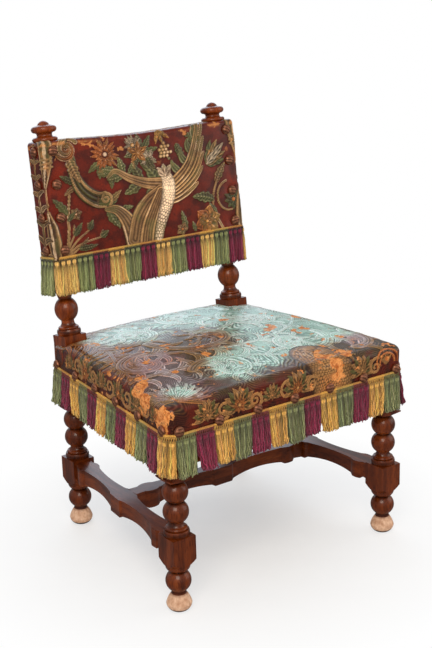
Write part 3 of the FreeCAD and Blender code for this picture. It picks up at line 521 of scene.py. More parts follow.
def wrapped_sheet(count, core, inner_share, roll_share, radius):
    """Square grid folded over a four-cornered core.

    Inside, points lie between the core's corners; outside, each ring runs along the core's sides, as far out
    as a quarter turn of the radius has come, and round each corner on an arc.
    Returns plan places, outward directions, the angle of the roll and the share of the wall below it."""
    line = np.linspace(-1, 1, count)
    u, v = np.meshgrid(line, line)
    ring = np.maximum(abs(u), abs(v))
    a = u / np.maximum(ring, inner_share)
    b = v / np.maximum(ring, inner_share)
    core = np.array(core, dtype=float)
    weights = [(1 - a) * (1 - b), (1 + a) * (1 - b), (1 + a) * (1 + b), (1 - a) * (1 + b)]
    place = sum(w[..., None] * c for w, c in zip(weights, core)) / 4
    outward = np.zeros_like(place)
    share = np.clip((ring - inner_share) / (1 - inner_share), 0, 1)
    roll = np.minimum(share / roll_share, 1) * math.pi / 2
    wall = np.clip((share - roll_share) / (1 - roll_share), 0, 1)
    away = radius * np.sin(roll)
    sides = [(a, v <= -abs(u)), (b, u >= abs(v)), (-a, v >= abs(u)), (-b, u <= -abs(v))]
    directions = [core[(k + 1) % 4] - core[k] for k in range(4)]
    lengths = [np.hypot(*d) for d in directions]
    tangents = [d / n for d, n in zip(directions, lengths)]
    half_turns = [math.acos(np.clip(tangents[k - 1] @ tangents[k], -1, 1)) / 2 for k in range(4)]
    for k, (along, facing) in enumerate(sides):
        spot = facing & (ring > inner_share)
        reach = away[spot]
        before = reach * half_turns[k]
        after = reach * half_turns[(k + 1) % 4]
        run = (along[spot] + 1) / 2 * (lengths[k] + before + after) - before
        straight = np.clip(run, 0, lengths[k])
        turn = (run - straight) / np.maximum(reach, 1e-6)
        normal = np.array([tangents[k][1], -tangents[k][0]])
        out = np.cos(turn)[:, None] * normal + np.sin(turn)[:, None] * tangents[k]
        place[spot] = core[k] + straight[:, None] * tangents[k] + reach[:, None] * out
        outward[spot] = out
    return place, outward, roll, wall


def lifted(points, lift):
    """Grid of points moved along its unit normals, across its columns and rows."""
    normal = np.cross(np.gradient(points, axis=1), np.gradient(points, axis=0))
    normal /= np.maximum(np.linalg.norm(normal, axis=2, keepdims=True), 1e-9)
    return points + normal * lift[..., None]


# Leather work on the flat pattern
def spaced(path, first, last, count, shrink):
    """Places on a path from its tip to its foot, its heading there, and sizes that shrink along it."""
    for t in np.linspace(first, last, count):
        i = int(t * (len(path) - 2))
        step = path[i + 1] - path[i]
        yield path[i], math.degrees(math.atan2(step[1], step[0])), 1 - shrink * t


class Tooling:
    """Height and paint of embossed leather on its flat pattern; ridge keeps how light each point was painted.

    A motif's tint is a pair: the paint of its ridges and of its hollows."""

    def __init__(self, across, along):
        self.across = across
        self.along = along
        self.paint = np.zeros((len(across), 3))
        self.tone = np.ones(len(across))
        self.height = np.zeros(len(across))
        self.ridge = np.zeros(len(across))

    def cloud(self, size, start, octaves=3):
        """Cloudy noise on the pattern."""
        return mottle(self.across, self.along, size, start, octaves)

    def patches(self, spots):
        """Sum of round clouds, each given by its place and size."""
        squares = (((self.across - x) ** 2 + (self.along - y) ** 2) / size ** 2 for x, y, size in spots)
        return sum(np.exp(-square / 2) for square in squares)

    def wash(self, colour, share):
        """Lays a colour over the paint by a share for each point."""
        self.paint = blend(self.paint, colour, share)

    def near(self, low, high):
        """Points inside a window of the pattern."""
        return np.flatnonzero((self.across > low[0]) & (self.across < high[0])
                              & (self.along > low[1]) & (self.along < high[1]))

    def press(self, spots, rise, ridge, tint):
        """Lays a motif over what is there: its height, and paint from dark hollows to light ridges."""
        ridge = np.clip(ridge, 0, 1) ** self.tone[spots]
        self.height[spots] = rise
        self.ridge[spots] = ridge
        light, dark = (paint[spots] if paint.ndim == 2 else paint for paint in tint)
        self.paint[spots] = dark + (light - dark) * ridge[:, None]

    def beside(self, path, widths):
        """Points within a path's half width, with their share across it, side and run along it.

        The half width eases through the given widths; distance is measured square to the nearest stretch."""
        half = np.interp(np.linspace(0, 1, len(path)), np.linspace(0, 1, len(widths)), widths)
        reach = max(widths)
        spots = self.near(path.min(axis=0) - reach, path.max(axis=0) + reach)
        dx = self.across[spots, None] - path[None, :, 0]
        dy = self.along[spots, None] - path[None, :, 1]
        nearest = (np.hypot(dx, dy) / half).argmin(axis=1)
        rows = np.arange(len(spots))
        dx, dy = dx[rows, nearest], dy[rows, nearest]
        tx, ty = unit(np.gradient(path, axis=0))[nearest].T
        ahead = dx * tx + dy * ty
        off = tx * dy - ty * dx
        inner = (nearest > 0) & (nearest < len(path) - 1)
        runs = np.concatenate([[0], np.cumsum(np.hypot(*np.diff(path, axis=0).T))])
        run = runs[nearest] + ahead * inner
        width = np.interp(run, runs, half)
        share = np.where(inner, abs(off), np.hypot(dx, dy)) / width
        keep = share < 1
        return spots[keep], share[keep], np.sign(off)[keep], run[keep], width[keep]

    def stem(self, path, widths, rise, tint, flutes=0.0, line=0.45):
        """Rounded stem on a path: half a circle across, cut by flutes along it, pale rim, dark outline."""
        spots, share, _, _, _ = self.beside(path, widths)
        dome = np.sqrt(1 - share ** 2)
        flute = 0.5 + 0.5 * np.cos(WHOLE_TURN * flutes * share)
        rim = np.exp(-((share - 0.78) / 0.12) ** 2)
        outline = smooth(1.0, 0.86, share)
        self.press(spots, rise * (0.55 * dome + 0.35 * flute * dome + 0.3 * rim * outline),
                   (0.12 + line * flute + 0.6 * rim) * outline, tint)

    def plume(self, base, turn, length, width, curl, rise, tint, flutes=1.4):
        """Curled lobe: a fluted stem that narrows to its tip and turns ever more tightly."""
        t = np.linspace(0, 1, 20)
        heading = math.radians(turn) + math.radians(curl) * t ** 1.6
        steps = length / len(t) * np.stack([np.cos(heading), np.sin(heading)], axis=1)
        path = np.array(base) + np.cumsum(steps, axis=0)
        self.stem(path, (0.7 * width, width, 0.8 * width, 0.25 * width), rise, tint, flutes)

    def acanthus(self, path, length, width, rise, tint, count, spread, curl, sides=(1, -1)):
        """Leaf on a path: curled lobes off its sides, laid from tip to foot, and a fluted rib over them."""
        for place, turn, size in spaced(path, 0.96, 0.03, count, 0.55):
            for side in sides:
                self.plume(place, turn + side * spread, length * size, width * size, side * curl, rise, tint)
        self.stem(path, (0.75 * width, 0.3 * width), 1.15 * rise, tint, 1.5)

    def combed(self, centres, spacing):
        """Comb lines and nearness to a seam: spirals round the nearest centre, on a plan bent by clouds."""
        bend_x, bend_y = (120 * (self.cloud(90, start) - 0.5) for start in (401, 431))
        best = np.full(len(self.across), np.inf)
        second = best.copy()
        phase = np.zeros(len(self.across))
        for k, (x, y, size) in enumerate(centres):
            dx = self.across + bend_x - x
            dy = self.along + bend_y - y
            r = np.hypot(dx, dy)
            closer = r / size < best
            second = np.where(closer, best, np.minimum(second, r / size))
            best = np.where(closer, r / size, best)
            turn = np.arctan2(dy, dx) / WHOLE_TURN * (5 if k % 2 else -5)
            phase = np.where(closer, r / spacing + turn, phase)
        return 0.5 + 0.5 * np.cos(WHOLE_TURN * phase), smooth(0.0, 0.12, second - best)

    def swirls(self, centres, spacing, rise, tint, pale):
        """Combed ground: dark lines on light where pale nears 1, light lines on dark elsewhere."""
        comb, edge = self.combed(centres, spacing)
        tone = (0.3 + 0.7 * self.cloud(14, 451)) * (0.4 + 0.6 * pale)
        self.height += rise * comb * edge
        self.ridge = np.clip(comb ** (2.2 - 1.6 * pale) * (0.2 + 0.8 * edge) * tone, 0, 1)
        self.paint = blend(tint[1], tint[0], self.ridge)

    def scales(self, path, widths, rise, tint, size):
        """Stem covered with scales: each cell of a loose brick pattern is a dome, bright at its tip."""
        spots, share, side, run, width = self.beside(path, widths)
        across, along = self.across[spots], self.along[spots]
        shift, slide = (mottle(across, along, 16, start) - 0.5 for start in (461, 471))
        run = run + 2.2 * size * shift
        row = np.floor(run / size)
        cell = share * side * width / size + 0.5 * (row % 2)
        cell = cell + 1.8 * slide
        u = cell - np.floor(cell) - 0.5
        v = run / size - row - 0.35
        bead = np.sqrt(np.clip(1 - 4.2 * u ** 2 - 2.4 * v ** 2, 0, 1))
        dome = np.sqrt(1 - share ** 2)
        outline = smooth(1.0, 0.84, share)
        self.press(spots, rise * (0.6 * dome + 0.4 * bead * dome),
                   (0.1 + 0.9 * bead * dome ** 1.5) * outline, tint)

    def leaf(self, base, turn, length, width, curl, rise, tint, lobes=4):
        """Leaf on a bent midrib: half width swells as a sine with lobes on its edge, veins slant off it."""
        spots = self.near(np.subtract(base, length * 1.2), np.add(base, length * 1.2))
        angle = math.radians(turn)
        dx = self.across[spots] - base[0]
        dy = self.along[spots] - base[1]
        t = (dx * math.cos(angle) + dy * math.sin(angle)) / length
        b = -dx * math.sin(angle) + dy * math.cos(angle) - curl * length * t ** 2
        keep = (t > 0.01) & (t < 0.99)
        spots, t, b = spots[keep], t[keep], b[keep]
        edge = 0.72 + 0.28 * abs(np.sin(math.pi * lobes * t))
        half = width / 2 * np.sin(math.pi * t ** 0.8) ** 0.8 * edge
        share = abs(b) / np.maximum(half, 0.05)
        keep = share < 1
        spots, t, b, share = spots[keep], t[keep], b[keep], share[keep]
        vein = 0.5 + 0.5 * np.cos(WHOLE_TURN * (2 * lobes * t - 0.9 * share))
        rib = np.exp(-(b / (0.06 * width)) ** 2)
        rim = np.exp(-((share - 0.78) / 0.14) ** 2)
        dome = (1 - share ** 2) ** 0.5
        outline = smooth(1.0, 0.85, share)
        self.press(spots, rise * (dome * (0.6 + 0.3 * vein) + 0.25 * rib + 0.25 * rim * outline),
                   (0.08 + 0.35 * vein * dome + 0.4 * rib + 0.45 * rim) * outline, tint)

    def spray(self, base, turns, *leaf):
        """Leaves alike in several directions from one place."""
        for turn in turns:
            self.leaf(base, turn, *leaf)

    def fronds(self, path, length, width, rise, tint, count, spread):
        """Leaves off both sides of a path, laid from its tip to its foot and shrinking to the tip."""
        for place, turn, size in spaced(path, 0.92, 0.05, count, 0.5):
            for side in (1, -1):
                slant = turn + side * spread
                self.leaf(place, slant, length * size, width * size, -0.22 * side, rise, tint, 3)

    def knob(self, centre, radius, rise, tint):
        """Round boss: half a ball, light on its top."""
        spots = self.near(np.subtract(centre, radius), np.add(centre, radius))
        share = np.hypot(self.across[spots] - centre[0], self.along[spots] - centre[1]) / radius
        spots, share = spots[share < 1], share[share < 1]
        dome = np.sqrt(1 - share ** 2)
        self.press(spots, rise * dome, dome ** 1.5, tint)

    def flower(self, centre, radius, petals, rows, rise, tint, heart, start):
        """Full flower: rows of uneven petals from the outside in, each shorter and higher, and a heart."""
        rng = seed(start)
        light, dark = tint
        for row in range(rows):
            reach = radius * (1 - 0.3 * row)
            turns = np.arange(petals) * 360 / petals + 180 / petals * row + rng.uniform(-9, 9, petals)
            lengths = reach * rng.uniform(0.82, 1.0, petals)
            width = 4.2 * radius / petals * (1 - 0.15 * row)
            for turn, length in zip(turns, lengths):
                self.leaf(centre, turn, length, width, rng.uniform(-0.12, 0.12), rise * (1 + 0.25 * row),
                          (light * rng.uniform(0.65, 1.1), dark), 1)
        self.knob(centre, radius * 0.2, 1.6 * rise, (heart, dark))

    def berries(self, centre, radius, berry, rise, tint):
        """Bunch of berries: staggered rows of bosses inside a pointed oval."""
        for row in range(int(2 * radius / berry)):
            drop = radius - row * berry
            wide = 0.65 * radius * math.sqrt(max(0.0, 1 - (drop / radius) ** 2))
            for x in np.arange(-wide, wide + 0.1, berry * 1.15):
                place = (centre[0] + x + 0.5 * berry * (row % 2), centre[1] + drop)
                self.knob(place, berry * 0.62, rise, tint)


def through(count, *points):
    """Smooth path through points: each stretch is a cubic whose end slopes follow its neighbours."""
    p = np.array(points, dtype=float)
    p = np.concatenate([[2 * p[0] - p[1]], p, [2 * p[-1] - p[-2]]])
    t = np.linspace(0, len(points) - 1.000001, count)
    k = t.astype(int)
    s = (t - k)[:, None]
    a, b, c, d = p[k], p[k + 1], p[k + 2], p[k + 3]
    square = (2 * a - 5 * b + 4 * c - d) * s ** 2
    cube = (3 * b - a - 3 * c + d) * s ** 3
    return 0.5 * (2 * b + (c - a) * s + square + cube)


def beside_path(path, distance):
    """Path moved square to itself, to its left, by a distance that grows from half to the whole along it."""
    tangent = unit(np.gradient(path, axis=0))
    left = np.stack([-tangent[:, 1], tangent[:, 0]], axis=1)
    return path + left * distance * np.linspace(0.5, 1, len(path))[:, None]


def volute(centre, outer, inner, start, turns, count=90):
    """Spiral path whose radius shrinks by equal shares from outer to inner as it turns."""
    t = np.linspace(0, 1, count)
    radius = outer * (inner / outer) ** t
    angle = math.radians(start) + WHOLE_TURN * turns * t
    return np.stack([centre[0] + radius * np.cos(angle), centre[1] + radius * np.sin(angle)], axis=1)


def tool_back(work):
    """Scrolling foliage of the back: a horn, a scaled stem with a plumed wing, leaves and flowers."""
    horn = through(90, (-131, 148), (-129, 124), (-121, 104), (-108, 90), (-93, 82), (-80, 81))
    foot = through(70, (-80, 66), (-62, 62), (-46, 44), (-36, 18), (-30, -12))
    arm = through(60, (-36, 14), (-26, 44), (-6, 68), (20, 84))
    drape = through(60, (-18, -12), (-10, 26), (4, 54), (20, 80))
    body = through(90, (5, -12), (11, 20), (22, 46), (33, 70), (36, 92), (31, 108))
    wing = through(90, (24, 72), (54, 84), (83, 104), (104, 134), (124, 182))
    bough = through(60, (22, 92), (-6, 97), (-34, 108), (-58, 122), (-72, 114))
    work.stem(through(60, (140, -4), (128, 18), (119, 39), (122, 66), (135, 92)), (2.4, 1.8), 1.0, BRONZED)
    work.stem(through(40, (-156, 2), (-149, 40), (-147, 62), (-141, 96)), (2.6, 2.0), 1.0, BRONZED)
    sprigs = (((-150, 20), (-141, 34), 48, 24), ((-138, 25), (-115, 39), 58, 17),
              ((-134, 19), (-96, 26), 28, 17), ((-146, 8), (-136, 14), 2, 34))
    for middle, tip, heading, size in sprigs:
        work.stem(through(30, (-160, 2), middle, tip), (2.0, 1.3), 1.0, BRONZED)
        work.leaf(tip, heading + 24, 0.7 * size, 7, 0.2, 1.1, (BRONZE, LEAF_DARK), 2)
        work.leaf(tip, heading - 8, size, 11, 0.15, 1.2, LEAFY)
    work.flower((-134, 66), 11, 5, 1, 1.2, BRONZED, ORANGE, 501)
    work.leaf((-148, 66), 118, 34, 15, 0.2, 1.2, LEAFY)
    work.leaf((-148, 56), 55, 20, 9, -0.2, 1.0, LEAFY)
    work.leaf((121, 54), 152, 42, 20, 0.25, 1.3, LEAFY)
    work.leaf((128, 80), 66, 38, 17, -0.2, 1.3, BRONZED)
    work.leaf((124, 30), 112, 24, 10, 0.2, 1.0, LEAFY)
    work.stem(volute((153, 56), 26, 22, 100, 0.5, 40), (2.0, 1.4), 1.0, BRONZED)
    for turn in range(10, 370, 60):
        work.leaf((105, 22), turn, 26, 25, 0.1, 1.4, FLAMED if 120 < turn < 300 else PETALLED, 1)
    work.flower((103, 22), 17, 6, 2, 1.8, (ORANGE, OXBLOOD_DARK), PETAL, 503)
    work.leaf((80, 8), 100, 18, 9, 0.1, 1.0, LEAFY)
    work.flower((160, 50), 20, 8, 2, 1.2, LEAFY, ORANGE, 505)
    work.leaf((62, 12), 95, 34, 12, 0.1, 1.1, LEAFY)
    work.flower((54, 16), 12, 5, 1, 1.1, BRONZED, ORANGE, 507)
    work.spray((-82, 138), (200, 250, 300), 26, 12, 0.2, 1.0, LEAFY)
    work.flower((-73, 150), 28, 15, 3, 1.3, FLAMED, ORANGE_DARK, 509)
    work.spray((-8, 147), range(0, 360, 45), 32, 14, 0.15, 1.0, LEAFY)
    work.flower((-22, 160), 19, 13, 2, 1.2, (GILT_AND_HIGHLIGHT, LEAF_DARK), PETAL, 511)
    work.flower((3, 135), 18, 11, 2, 1.2, (GILT_AND_HIGHLIGHT, LEAF_DARK), PETAL, 512)
    work.spray((-14, 147), (15, 75, 150, 215, 300), 19, 11, 0.2, 1.9, PETALLED, 1)
    work.leaf((2, 138), 285, 30, 15, 0.2, 1.1, LEAFY)
    work.leaf((-22, 134), 245, 26, 12, -0.2, 1.1, LEAFY)
    work.spray((29, 180), (236, 268, 304), 24, 9, 0.25, 1.4, PETALLED, 2)
    work.berries((35, 143), 14, 5.2, 1.6, BRONZED)
    work.leaf((58, 154), 285, 32, 15, 0.12, 1.2, LEAFY)
    work.leaf((82, 168), 300, 28, 13, -0.1, 1.1, LEAFY)
    fan = ((4, 38, SAGE), (68, 40, SAGE), (52, 46, BRONZE), (20, 44, BRONZE), (36, 50, GILT_AND_HIGHLIGHT))
    for turn, size, light in fan:
        work.leaf((112, 112), turn, size, 15, 0.05, 1.5, (light, LEAF_DARK), 2)
    work.fronds(foot[:46], 34, 16, 1.3, LEAFY, 3, 66)
    work.fronds(bough, 42, 23, 1.4, LEAFY, 4, 58)
    work.leaf((-58, 120), 150, 24, 17, 0.25, 1.6, LEAFY)
    work.stem(bough, (11, 8, 5, 2.5), 1.7, BRONZED, 2.0)
    work.leaf((-126, 112), 166, 30, 13, -0.2, 1.2, LEAFY)
    work.leaf((-128, 106), 196, 24, 10, 0.2, 1.2, BRONZED)
    work.leaf((-74, 78), 20, 26, 12, 0.2, 1.2, BRONZED)
    work.stem(horn, (7, 9, 12, 13, 13, 11), 2.2, (LEAF, BRONZE_DARK), 2.0, 0.35)
    for off in (-11, 11):
        work.stem(beside_path(horn[8:], off), (1.2, 1.9, 2.1, 1.5), 2.5, BRONZED)
    work.stem(volute((-80, 82), 12, 2.5, -60, 1.5, 70), (2.4, 1.8), 2.6, BRONZED)
    work.leaf((-137, 154), -74, 46, 20, 0.08, 2.4, BRONZED, 5)
    for outer, start, light in ((19, 30, BRONZE), (17, 210, ORANGE)):
        work.stem(volute((-137, 163), outer, 3, start, 1.4, 70), (4, 2), 1.9, (light, BRONZE_DARK), 1.0)
    work.stem(foot, (4, 10, 17, 21), 1.8, BRONZED, 2.5, 0.3)
    work.stem(arm, (13, 12, 8), 1.9, BRONZED, 2.0, 0.3)
    for k, end in enumerate((42, 56, 68, 78, 86, 90)):
        work.stem(beside_path(wing[:end], -20 + 7.5 * k), (6, 8, 7, 2.5), 1.7 + 0.1 * k, BRONZED, 1.5)
    for k, start in enumerate((34, 46, 58, 70)):
        work.plume(wing[start] + (-9, 13), 150 - 10 * k, 26, 7, -60, 1.6, LEAFY)
    work.stem(beside_path(wing, 19), (7, 8, 6, 4), 2.3, BRONZED, 1.5)
    work.stem(drape, (15, 13, 9), 2.1, BRONZED, 3.0, 0.3)
    # Hollows between the scales pale towards the top of the body: paint, and a painted sheen
    soft = blend(np.tile(SCALE_DARK, (len(work.along), 1)), 0.62 * GILT_AND_HIGHLIGHT, smooth(36, 92, work.along))
    work.scales(body, (8, 9, 11, 13, 12, 9), 2.6, (GILT_AND_HIGHLIGHT, soft), 4.4)
    work.spray((31, 102), (60, 128, 94), 22, 13, 0.0, 2.8, (GILT_AND_HIGHLIGHT, SCALE_DARK), 1)
    for side in (-1, 1):
        baluster = through(50, (side * 172, 190), (side * 174, 150), (side * 179, 112))
        vase = through(50, (side * 179, 72), (side * 177, 40), (side * 175, -6))
        work.stem(through(30, (side * 179, 118), (side * 180, 66)), (2.4, 2.4), 1.0, (BRONZE, OXBLOOD))
        work.stem(baluster, (13, 15, 10, 4), 1.6, BRONZED, 1.5, 0.35)
        # Thin pale strip along the baluster's middle: a painted highlight
        work.stem(baluster, (1.4, 2.2, 1.8, 1.2), 1.9, PAINTED_HIGHLIGHT_STRIP)
        work.stem(vase, (4, 12, 15, 9), 1.6, BRONZED, 1.5, 0.35)
        # Thin pale strip along the vase's middle: a painted highlight
        work.stem(vase, (1.2, 2.0, 2.4, 1.4), 1.9, PAINTED_HIGHLIGHT_STRIP)
        for level in (140, 146, 152):
            work.stem(through(20, (side * 163, level), (side * 185, level - 2)), (1.6, 1.6), 1.9, BRONZED)
        edge = through(60, (side * 204, -4), (side * 200, 60), (side * 204, 120), (side * 200, 186))
        work.acanthus(edge, 30, 6, 1.1, BRONZED, 8, 50, 60)
    work.acanthus(through(60, (-150, 200), (0, 206), (150, 200)), 30, 6, 1.0, BRONZED, 10, 50, 60)


def tool_seat(work, tint, pale):
    """Engraved scrolls of the seat: volutes and bands in leaf, a fan, a scaled band, shells on its walls."""
    jitter = seed(3).uniform(-16, 16, (90, 2))
    lattice = [(x, y) for x in range(-250, 251, 62) for y in range(-240, 241, 60)]
    centres = [(x + jitter[k][0], y + jitter[k][1], 1 + 0.02 * (k % 7)) for k, (x, y) in enumerate(lattice)]
    work.swirls(centres, 3.8, 0.3, tint, pale)
    bands = (((-184, 34), (-120, -10), (-40, -52), (50, -58), (130, -20), (184, 40)),
             ((-196, -70), (-110, -84), (-20, -100), (60, -150), (120, -176)),
             ((-134, 166), (-40, 160), (60, 168), (134, 152)),
             ((-160, 136), (-150, 70), (-172, 0), (-190, -66)))
    for band in bands:
        work.acanthus(through(90, *band), 54, 7, 0.9, tint, 11, 36, 90)
    scrolls = (((-92, 96), 62, 200, 1.6), ((-16, 14), 84, 165, 1.4), ((78, -88), 66, 20, -1.6),
               ((112, 46), 62, 110, 1.6), ((20, 130), 52, 300, -1.5), ((-146, -36), 50, 60, 1.5),
               ((-66, -124), 52, 150, -1.5), ((158, -114), 44, 250, 1.5), ((-160, 150), 34, 20, 1.4),
               ((150, 140), 40, 200, -1.4))
    for centre, outer, start, turns in scrolls:
        scroll = volute(centre, outer, 6, start, turns)
        inward = 1 if turns > 0 else -1
        work.acanthus(scroll, 46, 7, 1.0, tint, 14, 30, 70, (inward,))
        work.acanthus(scroll, 40, 7, 1.0, tint, 12, 34, 80, (-inward,))
        work.stem(scroll, (9, 7, 4, 2), 1.3, tint, 2.0)
    for turn in range(-36, 170, 13):
        work.plume((-190, -166), turn, 56, 5, 24, 1.2, tint)
    work.scales(through(50, (66, -152), (70, -190), (74, -250)), (38, 40, 38), 1.1, WALLED, 4.8)
    below = 26
    shells = [((x, -FRAME_Y - below), -90) for x in (-150, -96, -40, 6, 128)]
    shells += [((side * (seat_half(y) + below), y), 90 - 90 * side) for side in (-1, 1)
               for y in (-150, -96, -42, 12, 66, 120)]
    shells += [((x, FRAME_Y + below), 90) for x in (-120, -60, 0, 60, 120)]
    for k, (place, outwards) in enumerate(shells):
        size = 1 + 0.28 * math.sin(2.3 * k)
        for turn in (-108, 108, -84, 84, -60, 60, -36, 36, -12, 12):
            light = LEAF if abs(turn) in (36, 84) else AGED
            work.leaf(place, outwards + 180 + turn, 24 * size, 11 * size, 0.0, 1.1, (light, AGED_DARK), 1)
        work.flower(place, 11 * size, 8, 2, 1.2, ((AGED, ORANGE)[k % 2], AGED_DARK), AGED, 520 + k)
        along = np.array((-math.sin(math.radians(outwards)), math.cos(math.radians(outwards))))
        curl = volute(np.array(place) + 27 * along, 15 / size, 3, outwards + 40 * k, 1.4, 50)
        work.stem(curl, (2.6, 1.6), 0.9, (AGED, OXBLOOD_DARK))
    for radius in (26, 17):
        work.stem(volute((176, -204), radius, 0.7 * radius, 0, 0.55, 40), (1.8, 1.4), 1.3, FLAMED)
    for turn in range(50, 140, 22):
        work.plume((176, -206), turn, 15, 2.6, 10, 1.2, WALLED, 1.0)


# Clouds of paint and painted sheen, wear, and painted light, each a place and a size
AQUA_SPOTS = ((-97, 104, 42), (40, 130, 56), (116, 50, 72), (140, -60, 40), (5, -104, 38), (-62, -122, 28),
              (-166, -146, 16), (70, -70, 36))
SWEEPS = ((-97, 104, 1.0), (66, 60, 1.5), (150, -50, 0.9), (-40, -140, 1.1), (-170, -150, 0.8))
SLATE_SPOTS = ((-127, -40, 34), (164, -122, 26), (-30, 150, 40), (-160, -130, 34), (150, 110, 40),
               (20, 60, 24))
WORN_SPOTS = ((-204, -106, 12), (-190, -90, 8), (-214, -122, 7), (-176, -78, 6), (-222, -176, 13),
              (-236, -164, 9), (-240, -184, 8), (99, -12, 7), (118, -46, 9), (138, -48, 6), (84, -28, 5),
              (72, -158, 9), (80, -184, 9), (84, -204, 7), (152, -109, 6), (111, -165, 8), (-133, -86, 5),
              (-142, -23, 5), (0, -18, 4), (60, 60, 4), (172, 20, 5), (-60, -60, 5), (30, -128, 5))
# Pools of painted light on the back's raised motifs, each with a gain
PAINTED_LIGHT_SPOTS = ((24, 68, 48, 0.75), (112, 22, 22, 0.5), (-73, 150, 26, 0.4))


def blurred(field, reach):
    """Field averaged twice over a square window, by differences of running sums."""
    for axis in (0, 1, 0, 1):
        size = field.shape[axis]
        spread = np.clip(np.arange(-reach - 1, size + reach), 0, size - 1)
        total = np.cumsum(np.take(field, spread, axis), axis)
        window = np.arange(size)
        upper = np.take(total, window + 2 * reach + 1, axis)
        field = (upper - np.take(total, window, axis)) / (2 * reach + 1)
    return field


def relief_shade_and_grime(work, count, reach, depth):
    """Old grime and painted shade: paint darker where leather lies below its surroundings; painted highlight:
    lighter where it stands out.
    """
    square = work.height.reshape(count, count)
    proud = (square - blurred(square, reach)).ravel() / depth
    shade = 1 + 0.3 * np.clip(proud, 0, 1) - 0.62 * np.clip(-proud, 0, 1)
    work.paint = work.paint * shade[:, None]


def seat_pattern(points):
    """Flat pattern of the seat cover: walls are unfolded outwards from the edge of the top."""
    x, y, z = points.T
    core_y = np.clip(y, CORNER - FRAME_Y, FRAME_Y - CORNER)
    core_half = seat_half(core_y, SKIN) - CORNER - SKIN
    core_x = np.clip(x, -core_half, core_half)
    away = np.hypot(x - core_x, y - core_y)
    drop = np.where(away > 0.5, np.maximum(crown(x, y) - z, 0), 0)
    scale = drop / np.maximum(away, 0.5)
    return x + (x - core_x) * scale, y + (y - core_y) * scale, drop


def seat_work(points):
    """Embossing and paint of the seat cover for points on its plain surface, with painted sheen and painted
    highlights on its top.
    """
    across, along, drop = seat_pattern(points)
    work = Tooling(across, along)
    cloud = work.cloud
    ragged = cloud(9, 17, 4) - 0.5
    cover = work.patches(AQUA_SPOTS) + 0.5 * (cloud(46, 11) - 0.5) + 0.7 * ragged
    # Aqua zones of the seat: paint and a painted sheen
    aqua_and_sheen = smooth(0.12, 0.82, cover)
    stain = smooth(0.42, 0.98, cover)
    slate = smooth(0.2, 0.9, work.patches(SLATE_SPOTS) + 0.5 * (cloud(30, 21) - 0.5) + 0.9 * ragged)
    wall = smooth(1, 12, drop + 14 * ragged)
    red = smooth(0.46, 0.66, cloud(40, 31) + 0.4 * ragged) * (1 - aqua_and_sheen) * (0.5 + 0.5 * wall)
    light, dark = (np.tile(paint, (len(drop), 1)) for paint in (OLIVE, OLIVE_DARK))
    layers = ((SLATE, slate, SLATE_DARK, slate), (AQUA_PAINT_AND_SHEEN, aqua_and_sheen, AQUA_DARK, stain),
              (RUST, wall, OXBLOOD_DARK, wall), (OXBLOOD_RED, 0.7 * red, OXBLOOD, 0.8 * red))
    for ridge_paint, ridge_share, hollow_paint, hollow_share in layers:
        light = blend(light, ridge_paint, ridge_share)
        dark = blend(dark, hollow_paint, hollow_share)
    pale = np.clip(aqua_and_sheen + 0.4 * slate, 0, 1) * (1 - wall)
    work.tone = 1 - 0.45 * pale
    tool_seat(work, (light, dark), pale)
    stroke, seam = work.combed(SWEEPS, 4.2)
    line = smooth(0.42, 0.08, stroke) * smooth(0.3, 0.55, cloud(22, 49))
    work.wash(0.3 * dark, 0.75 * pale * seam * line)
    # Painted highlights: near white on the ridges of the aqua zones, in clouds
    highlight_cloud = smooth(0.42, 0.6, cloud(50, 47, 4))
    work.wash(PAINTED_HIGHLIGHT_ON_AQUA, 0.6 * highlight_cloud * aqua_and_sheen * (1 - wall) * smooth(0.6, 0.95, work.ridge))
    rubbed = smooth(0.5, 0.7, cloud(26, 45, 4)) * smooth(0.5, 0.8, work.ridge) * (1 - 0.8 * aqua_and_sheen)
    work.wash(ORANGE, 0.55 * rubbed)
    # Painted shade and grime in the hollows of the relief, painted highlight where it stands out
    relief_shade_and_grime(work, SEAT_GRID, 5, 0.55)
    # Painted sheen: aqua and slate zones of the top lighter, most on their ridges
    painted_sheen = np.clip(aqua_and_sheen + 0.8 * slate, 0, 1) * (1 - wall) * (0.5 + 0.5 * work.ridge)
    work.paint = np.minimum(work.paint * (1 + 0.7 * painted_sheen)[:, None], 0.92)
    worn = smooth(0.5, 0.54, work.patches(WORN_SPOTS) + 2.0 * (cloud(11, 41, 5) - 0.5))
    grit = cloud(4, 51)
    flesh = WORN_DEEP + (WORN - WORN_DEEP) * smooth(0.25, 0.6, grit)[:, None]
    work.wash(flesh, worn * (1 - 0.8 * smooth(0.68, 0.74, grit)))
    return work.height * (1 - 0.55 * worn) - 0.2 * worn, work.paint, worn


